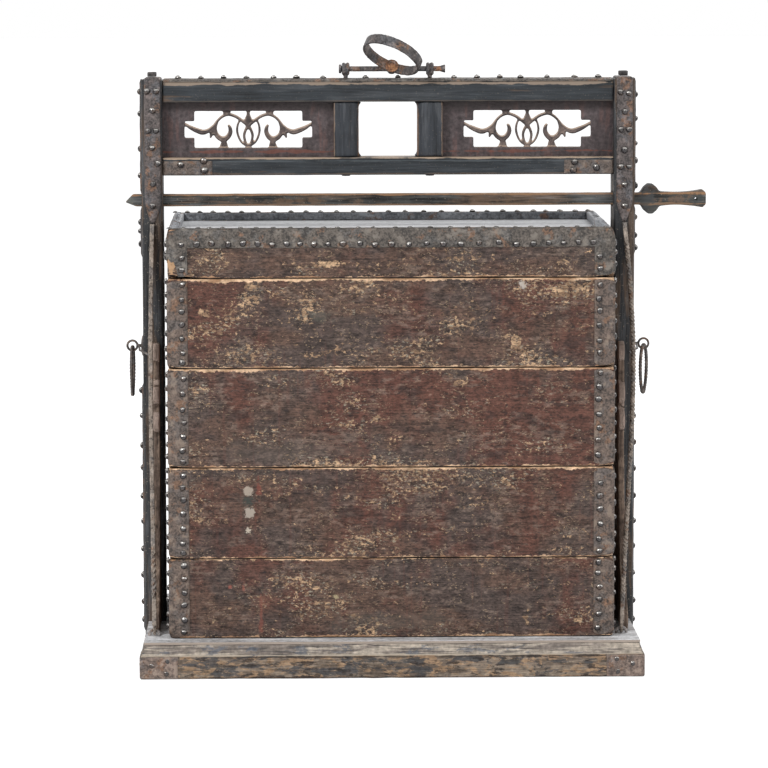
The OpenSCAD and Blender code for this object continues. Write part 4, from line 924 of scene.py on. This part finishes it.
def corner_irons(t, low, high, wood):
    """The four corner irons of a tier, and the places of their nails. wood is the boards' far corner."""
    lid = t == 4
    thick = high.x - wood.x
    off = thick * 0.85    # how far from the wood a nail's head starts
    bottom, top = low.z, high.z - EDGE if lid else wood.z - 0.0022
    parts, places = [], []
    for sx in (-1, 1):
        for sy in (-1, 1):
            torn = 0.024 if lid and sx == sy == -1 else 0.0

            def lower(way):
                rounded = 0.0055 * math.exp(-((way - IRON) / 0.007) ** 2) + 0.004 * max(0, 1 - way / 0.006)
                tear = torn * min(max((way - 0.017) / 0.004, 0), 1) * (1 - 0.1 * math.sin(way * 700))
                return bottom + rounded + tear

            def upper(way):
                rounded = 0.0045 * math.exp(-((way - IRON) / 0.007) ** 2) + 0.003 * max(0, 1 - way / 0.005)
                return top if lid else top - rounded

            path = angle_path(sx * wood.x, sy * wood.y, IRON, 0.004)
            parts.append(sheet(path, lower, upper, thick * 0.9, 90 + 10 * t + 2 * sx + sy, 0.0012, -sx * sy))
            rows = (bottom + 0.012, bottom + 0.033) if lid else [at(384, y, -0.210).z for y in TRAY_NAILS[t][sx > 0]]
            rng = np.random.default_rng(7 + t * 4 + (sx > 0) * 2 + (sy > 0))
            for z in rows:
                z = min(max(z, bottom + 0.008), top - 0.006)
                end_z = min(max(z + 0.006, bottom + 0.008 + torn), top - 0.003)
                dx, dy = rng.normal(0, 0.0012, 2)
                places.append(((sx * (wood.x - 0.0255 + dx), sy * (wood.y + off), z + dy * (sy > 0)), (0, sy, 0)))
                places.append(((sx * (wood.x + off), sy * (wood.y - 0.0255 + dy), end_z + dx), (sx, 0, 0)))
    return parts, places


def lid_edges(high, wood):
    """The irons along the lid's edges, and their folds on the long sides and on the ends."""
    thick = (high.x - wood.x) * 0.9
    bands, folds = [], ([], [])
    for axis, along, beside, half, wall in ((0, X, Y, wood.x, wood.y), (1, Y, X, wood.y, wood.x)):
        n = int(2 * half / 0.006)
        for s in (-1, 1):
            out, sign, seed = s * beside, s if axis else -s, 140 + 2 * axis + s
            line = [along * (-half + 2 * half * i / n) + out * wall for i in range(n + 1)]

            def cut(way, deep):
                return deep * math.exp(-(min(way, 2 * half - way) / deep) ** 2)

            bands.append(sheet([(c, out, Z) for c in line], high.z - EDGE - 0.002,
                               lambda way: wood.z + 0.0005 - cut(way, 0.007), thick, seed, 0.0012, sign))
            rim = [(c + Z * wood.z, Z, -out) for c in line]
            if axis:
                folds[1].append(sheet(rim[3:-3], -0.0004, 0.0160, thick, seed + 10, 0.0014, sign))
            else:
                bands.append(sheet(rim, lambda way: cut(way, 0.006) - 0.0004, 0.0160, thick, seed + 10, 0.0014, sign))
            # the inner fold, down to the sunken board
            stops = np.linspace(-half + 0.0165, half - 0.0165, n)
            path = [(along * v + out * (wall - 0.016), -out, Z) for v in stops]
            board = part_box("lid_top_board")[1].z
            folds[axis].append(sheet(path, board + 0.0004, wood.z + 0.0014, 0.0010, seed + 30, 0.0014, -sign))
    return bands, folds


def lid_nails(high, wood):
    """The places of the nails along the lid's edges, and of those on the rims of its ends."""
    off = (high.x - wood.x) * 0.85
    face_z, rim_z = high.z - EDGE - 0.002 + 0.0075, wood.z + off
    places, rim_places = [], []
    rng = np.random.default_rng(5)
    for px in LID_FRONT_NAILS:
        x = at(px, 245.5, -0.21).x
        dz, dx = rng.normal(0, 0.0012, 2)
        places.append(((x, -wood.y - off, face_z + dz), (0, -1, 0)))
        places.append(((x + dx * 3, wood.y + off, face_z + dx), (0, 1, 0)))
    for px in LID_REAR_NAILS:
        x = at(px, 212, 0.20).x
        dx, dy = rng.normal(0, 0.0015, 2)
        places.append(((x, wood.y - 0.007 + dy, rim_z), (0, 0, 1), 0.0052, 0.0034))
        places.append(((x + dx * 2, -wood.y + 0.0112 + dy * 0.3, rim_z), (0, 0, 1), 0.0046, 0.0017))
    for y in np.linspace(-wood.y + 0.02, wood.y - 0.02, 14):
        dz, dy = rng.normal(0, 0.0015, 2)
        for s in (-1, 1):
            places.append(((s * (wood.x + off), y + dy, face_z + dz), (s, 0, 0)))
            rim_places.append(((s * (wood.x - 0.008 + dz), y + 0.008, rim_z), (0, 0, 1), 0.0046, 0.0016))
    return places, rim_places


def leaning_places(places):
    return [(leaning([centre])[0], *more) for centre, *more in places]


for t, tier in enumerate(TIERS[:4]):
    node = tier + "_corner_irons"
    parts, places = corner_irons(t, *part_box(node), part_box(tier + "_long_boards")[1])
    piece(tier + "_irons", tier, "sheet", parts, node)
    nails(tier + "_nails", tier, places, t + 1)
low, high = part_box("lid_irons")
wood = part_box("lid_long_boards")[1]
parts, places = corner_irons(4, low, high, wood)
bands, folds = lid_edges(high, wood)
piece("lid_edge_irons", "lid", "lid_iron", parts + bands, "lid_irons")
piece("lid_folds_long", "lid", "fold", folds[0])
piece("lid_folds_ends", "lid", "dusty", folds[1])
edge_places, rim_places = lid_nails(high, wood)
nails("lid_end_nails", "lid", leaning_places(rim_places), 9, look="dusty", slot="strap_iron")
nails("lid_nails", "lid", leaning_places(places + edge_places), 5)

# Irons on the stand
POST_X, POST_Y, POST_TOP = 0.420, 0.038, 1.035
SIDE_X = 0.439
STRAP_IN = {-1: 0.0014, 1: 0.0}    # how much nearer to the middle a post's strap sits
TIP_Z = 0.779
for s, label in ((-1, "left"), (1, "right")):
    x, bend = s * POST_X + STRAP_IN[s], 0.004
    y, z = POST_Y - bend, POST_TOP - bend
    path = line_path((x, -POST_Y, TIP_Z), (x, -POST_Y, z), -Y, s * X)
    path += arc_path((x, -y, z), -Y, Z, bend, s * X)
    path += line_path((x, -y, POST_TOP), (x, y, POST_TOP), Z, s * X)
    path += arc_path((x, y, z), Z, Y, bend, s * X)
    path += line_path((x, POST_Y, z), (x, POST_Y, TIP_Z), Y, s * X)
    length = np.linalg.norm(np.diff([f[0] for f in path], axis=0), axis=1).sum()

    def half_width(way):
        return 0.0018 + 0.0128 * min(min(way, length - way) / 0.034, 1) ** 0.8

    strap = sheet(path, lambda way: -half_width(way), half_width, 0.0036, 200 + s, 0.0007, s, ends=False)
    finish_piece(make("post_iron_" + label, *strap), "stand", "iron", "post_strap_" + label)

piece("side_irons", "stand", "side_iron",
      [sheet(line_path((s * SIDE_X, 0, a), (s * SIDE_X, 0, b), s * X, Y), -0.016, 0.016, 0.0036, 210 + i + s, 0.0008, -s)
       for s in (-1, 1) for i, a, b in ((1, 0.719, 0.8075), (2, 0.8314, POST_TOP), (3, 0.044, 0.490))],
      "side_straps", "foot_straps")
low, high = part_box("rail_irons")
piece("lower_rail_irons", "stand", "rail_sheet",
      [sheet(line_path((s * (high.x - 0.088), d * 0.030, 0), (s * high.x, d * 0.030, 0), d * Y, Z), low.z, high.z,
             0.0018, 230 + s + 2 * d, 0.0010, -s * d) for s in (-1, 1) for d in (-1, 1)], "rail_irons")

# The strip over the top rail's crown
CROWN_WIDE, CROWN_HIGH, CROWN_TOP = 0.060, 0.013, 1.034
crown = (CROWN_WIDE ** 2 / 4 + CROWN_HIGH ** 2) / (2 * CROWN_HIGH)
path = []
for y in np.linspace(-0.0185, 0.0185, 15):
    a = math.asin(y / crown)
    out = Z * math.cos(a) + Y * math.sin(a)
    path.append((Z * (CROWN_TOP - crown) + out * crown, out, X))
strip = sheet(path, -0.4005, 0.4005, 0.0026, 240, 0.0008, pitch=0.008)
finish_piece(make("top_strip", *strip), "stand", "lid_iron", "rail_strip", slot="strap_iron")
low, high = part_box("base_corner_plates")
piece("base_irons", "stand", "plate",
      [sheet(angle_path(sx * 0.439, sy * 0.250, 0.066), low.z, high.z, 0.0010, 250 + 2 * sx + sy, 0.0012, -sx * sy)
       for sx in (-1, 1) for sy in (-1, 1)], "base_corner_plates")

# Nails on the stand, by their rows in the photograph
NAIL_OUT = 0.0033    # how far a strap's outer side is from the wood
LEFT_NAILS = ((147.7, 91.4), (157, 91.4), (153, 110.7), (149, 131), (156.5, 131), (152.7, 148), (157.9, 163.8),
              (153.4, 184.3), (152.7, 206))
RIGHT_NAILS = ((617.9, 92.2), (626, 93.3), (622.4, 111.7), (618.5, 129.5), (626.7, 129.5), (622, 150), (618.5, 166.8),
               (626.7, 166.8), (622.4, 184.8), (622.6, 206))
places = []
for s, rows, middle in ((-1, LEFT_NAILS, 152.9), (1, RIGHT_NAILS, 622.4)):
    for px, py in rows:
        z = at(px, py, -0.042).z
        x = s * POST_X + STRAP_IN[s] + (px - middle) * 0.0018
        places.append(((x, -POST_Y - NAIL_OUT, z), (0, -1, 0)))
        if py < 200:
            places.append(((x, POST_Y + NAIL_OUT, z), (0, 1, 0)))
SIDE_ROWS = {-1: (91, 113, 148, 174.5, 221, 230, 243, 389, 414.5, 443.5, 466.5, 494.4, 519.7, 547, 573, 600, 618),
             1: (95, 119, 144, 161, 186, 218, 236, 248, 416.5, 443, 469, 496, 521.7, 547, 573.6, 601, 620)}
rng = np.random.default_rng(11)
for s in (-1, 1):
    for py in SIDE_ROWS[s]:
        z = at(384, py, 0).z
        if z <= 1.02:
            places.append(((s * (SIDE_X + NAIL_OUT), float(rng.normal(0, 0.004)), z), (s, 0, 0)))
for px in (178, 201, 223.6, 246.4, 273.6, 296.4, 323, 365.5, 398, 454, 477, 499.7, 520.3, 547, 574.5, 598):
    places.append(((at(px, 76, 0).x, float(rng.normal(0, 0.002)), CROWN_TOP + 0.0024), (0, 0, 1)))
RAIL_NAILS = {-1: ((180.7, 164.8), (203.5, 161.2), (204.5, 170.4)), 1: ((574.5, 162), (573.6, 170.3), (596.4, 167.4))}
for s, rows in RAIL_NAILS.items():
    for px, py in rows:
        p = at(px, py, -0.032)
        for d in (-1, 1):
            places.append(((s * min(abs(p.x), 0.396), d * 0.0316, p.z), (0, d, 0), 0.0064, 0.0046))
nails("stand_nails", "stand", places, 20)
places = []
for sx in (-1, 1):
    for sy in (-1, 1):
        for dx, z in ((22, 24), (48, 10), (50, 32)):
            places.append(((sx * (0.441 - dx * MM), sy * 0.2507, z * MM), (0, sy, 0)))
            places.append(((sx * 0.4397, sy * (0.252 - dx * MM), z * MM), (sx, 0, 0)))
nails("base_nails", "stand", places, 21, 0.0042, 0.0011)


# Drop rings of square bar, twisted
TURNS = 11


def twisted_ring(label):
    node = "drop_ring_" + label
    low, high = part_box(node)
    solid = read(nodes[node].data.vertices, "co")
    middle = (solid.max(0) + solid.min(0)) / 2
    axis = np.linalg.svd(solid - middle, full_matrices=False)[2][2]
    side = np.cross(axis, Z)
    side /= np.linalg.norm(side)
    minor = 0.0035
    radius = (high.z - low.z) / 2 - minor
    n, k = 180, 8
    points, wear = [], []
    for t in 2 * math.pi / n * np.arange(n):
        out = side * math.cos(t) + Z * math.sin(t)
        for a in 2 * math.pi / k * np.arange(k):
            # 1 on the bar's four edges, 0 in the middle between them
            ridge = (1 / max(abs(math.cos(a)), abs(math.sin(a))) - 1) / 0.414
            r = minor * (0.72 + 0.28 * ridge)
            b = a + TURNS * t
            points.append(middle + out * (radius + r * math.cos(b)) + axis * (r * math.sin(b)))
            wear.append(ridge)
    points = np.array(points)
    points -= np.outer(noise(points, 0.02, 3) * 0.0002, axis)
    faces = [(i * k + j, ((i + 1) % n) * k + j, ((i + 1) % n) * k + (j + 1) % k, i * k + (j + 1) % k)
             for i in range(n) for j in range(k)]
    finish_piece(make("twisted_ring_" + label, points, faces, wear), node, "ring", node)


twisted_ring("left")
twisted_ring("right")


# Floor, world and lamps
WHITE = (1, 1, 1, 1)


def white_stage():
    bpy.ops.mesh.primitive_circle_add(vertices=64, radius=60, fill_type="NGON", location=(0, 0, -0.0005))
    floor = bpy.context.object
    floor.name = "floor"
    m = Nodes("floor_white")
    path = m.add("ShaderNodeLightPath")
    seen = m.math("MAXIMUM", path["Is Camera Ray"], path["Is Glossy Ray"])
    m.put(m.shader, {"Base Color": (0.90, 0.90, 0.90, 1), "Roughness": 0.9, "Specular IOR Level": 0.1,
                     "Emission Strength": m.math("MULTIPLY", seen, 0.68), "Emission Color": WHITE})
    floor.data.materials.append(m.owner)
    # the world is white where it is seen, also in a reflection or through something, and dimmer as a light
    m = Nodes("white", home="worlds", shader="Background")
    scene.world = m.owner
    path = m.add("ShaderNodeLightPath")
    bounced = m.math("MAXIMUM", path["Is Glossy Ray"], path["Is Transmission Ray"])
    seen = m.math("MAXIMUM", path["Is Camera Ray"], bounced)
    strength = m.add("ShaderNodeMapRange", {"Value": seen, "To Min": 0.45, "To Max": 1.0})[0]
    m.put(m.shader, {"Strength": strength, "Color": WHITE})


def lamp(name, place, target, size, power):
    data = bpy.data.lights.new(name, "AREA")
    data.shape = "DISK"
    data.size = size
    data.energy = power
    ob = bpy.data.objects.new(name, data)
    scene.collection.objects.link(ob)
    aim = (Vector(target) - Vector(place)).to_track_quat("-Z", "Y")
    ob.matrix_world = Matrix.Translation(Vector(place)) @ aim.to_matrix().to_4x4()


white_stage()
lamp("key", (-2.6, -3.6, 3.4), (0, 0, 0.5), 1.6, 124)
lamp("fill", (3.2, -3.4, 2.0), (0, 0, 0.5), 2.4, 36)
lamp("rim", (1.5, 3.6, 3.2), (0, 0, 0.6), 2.0, 62)
scene.view_settings.view_transform = "Standard"

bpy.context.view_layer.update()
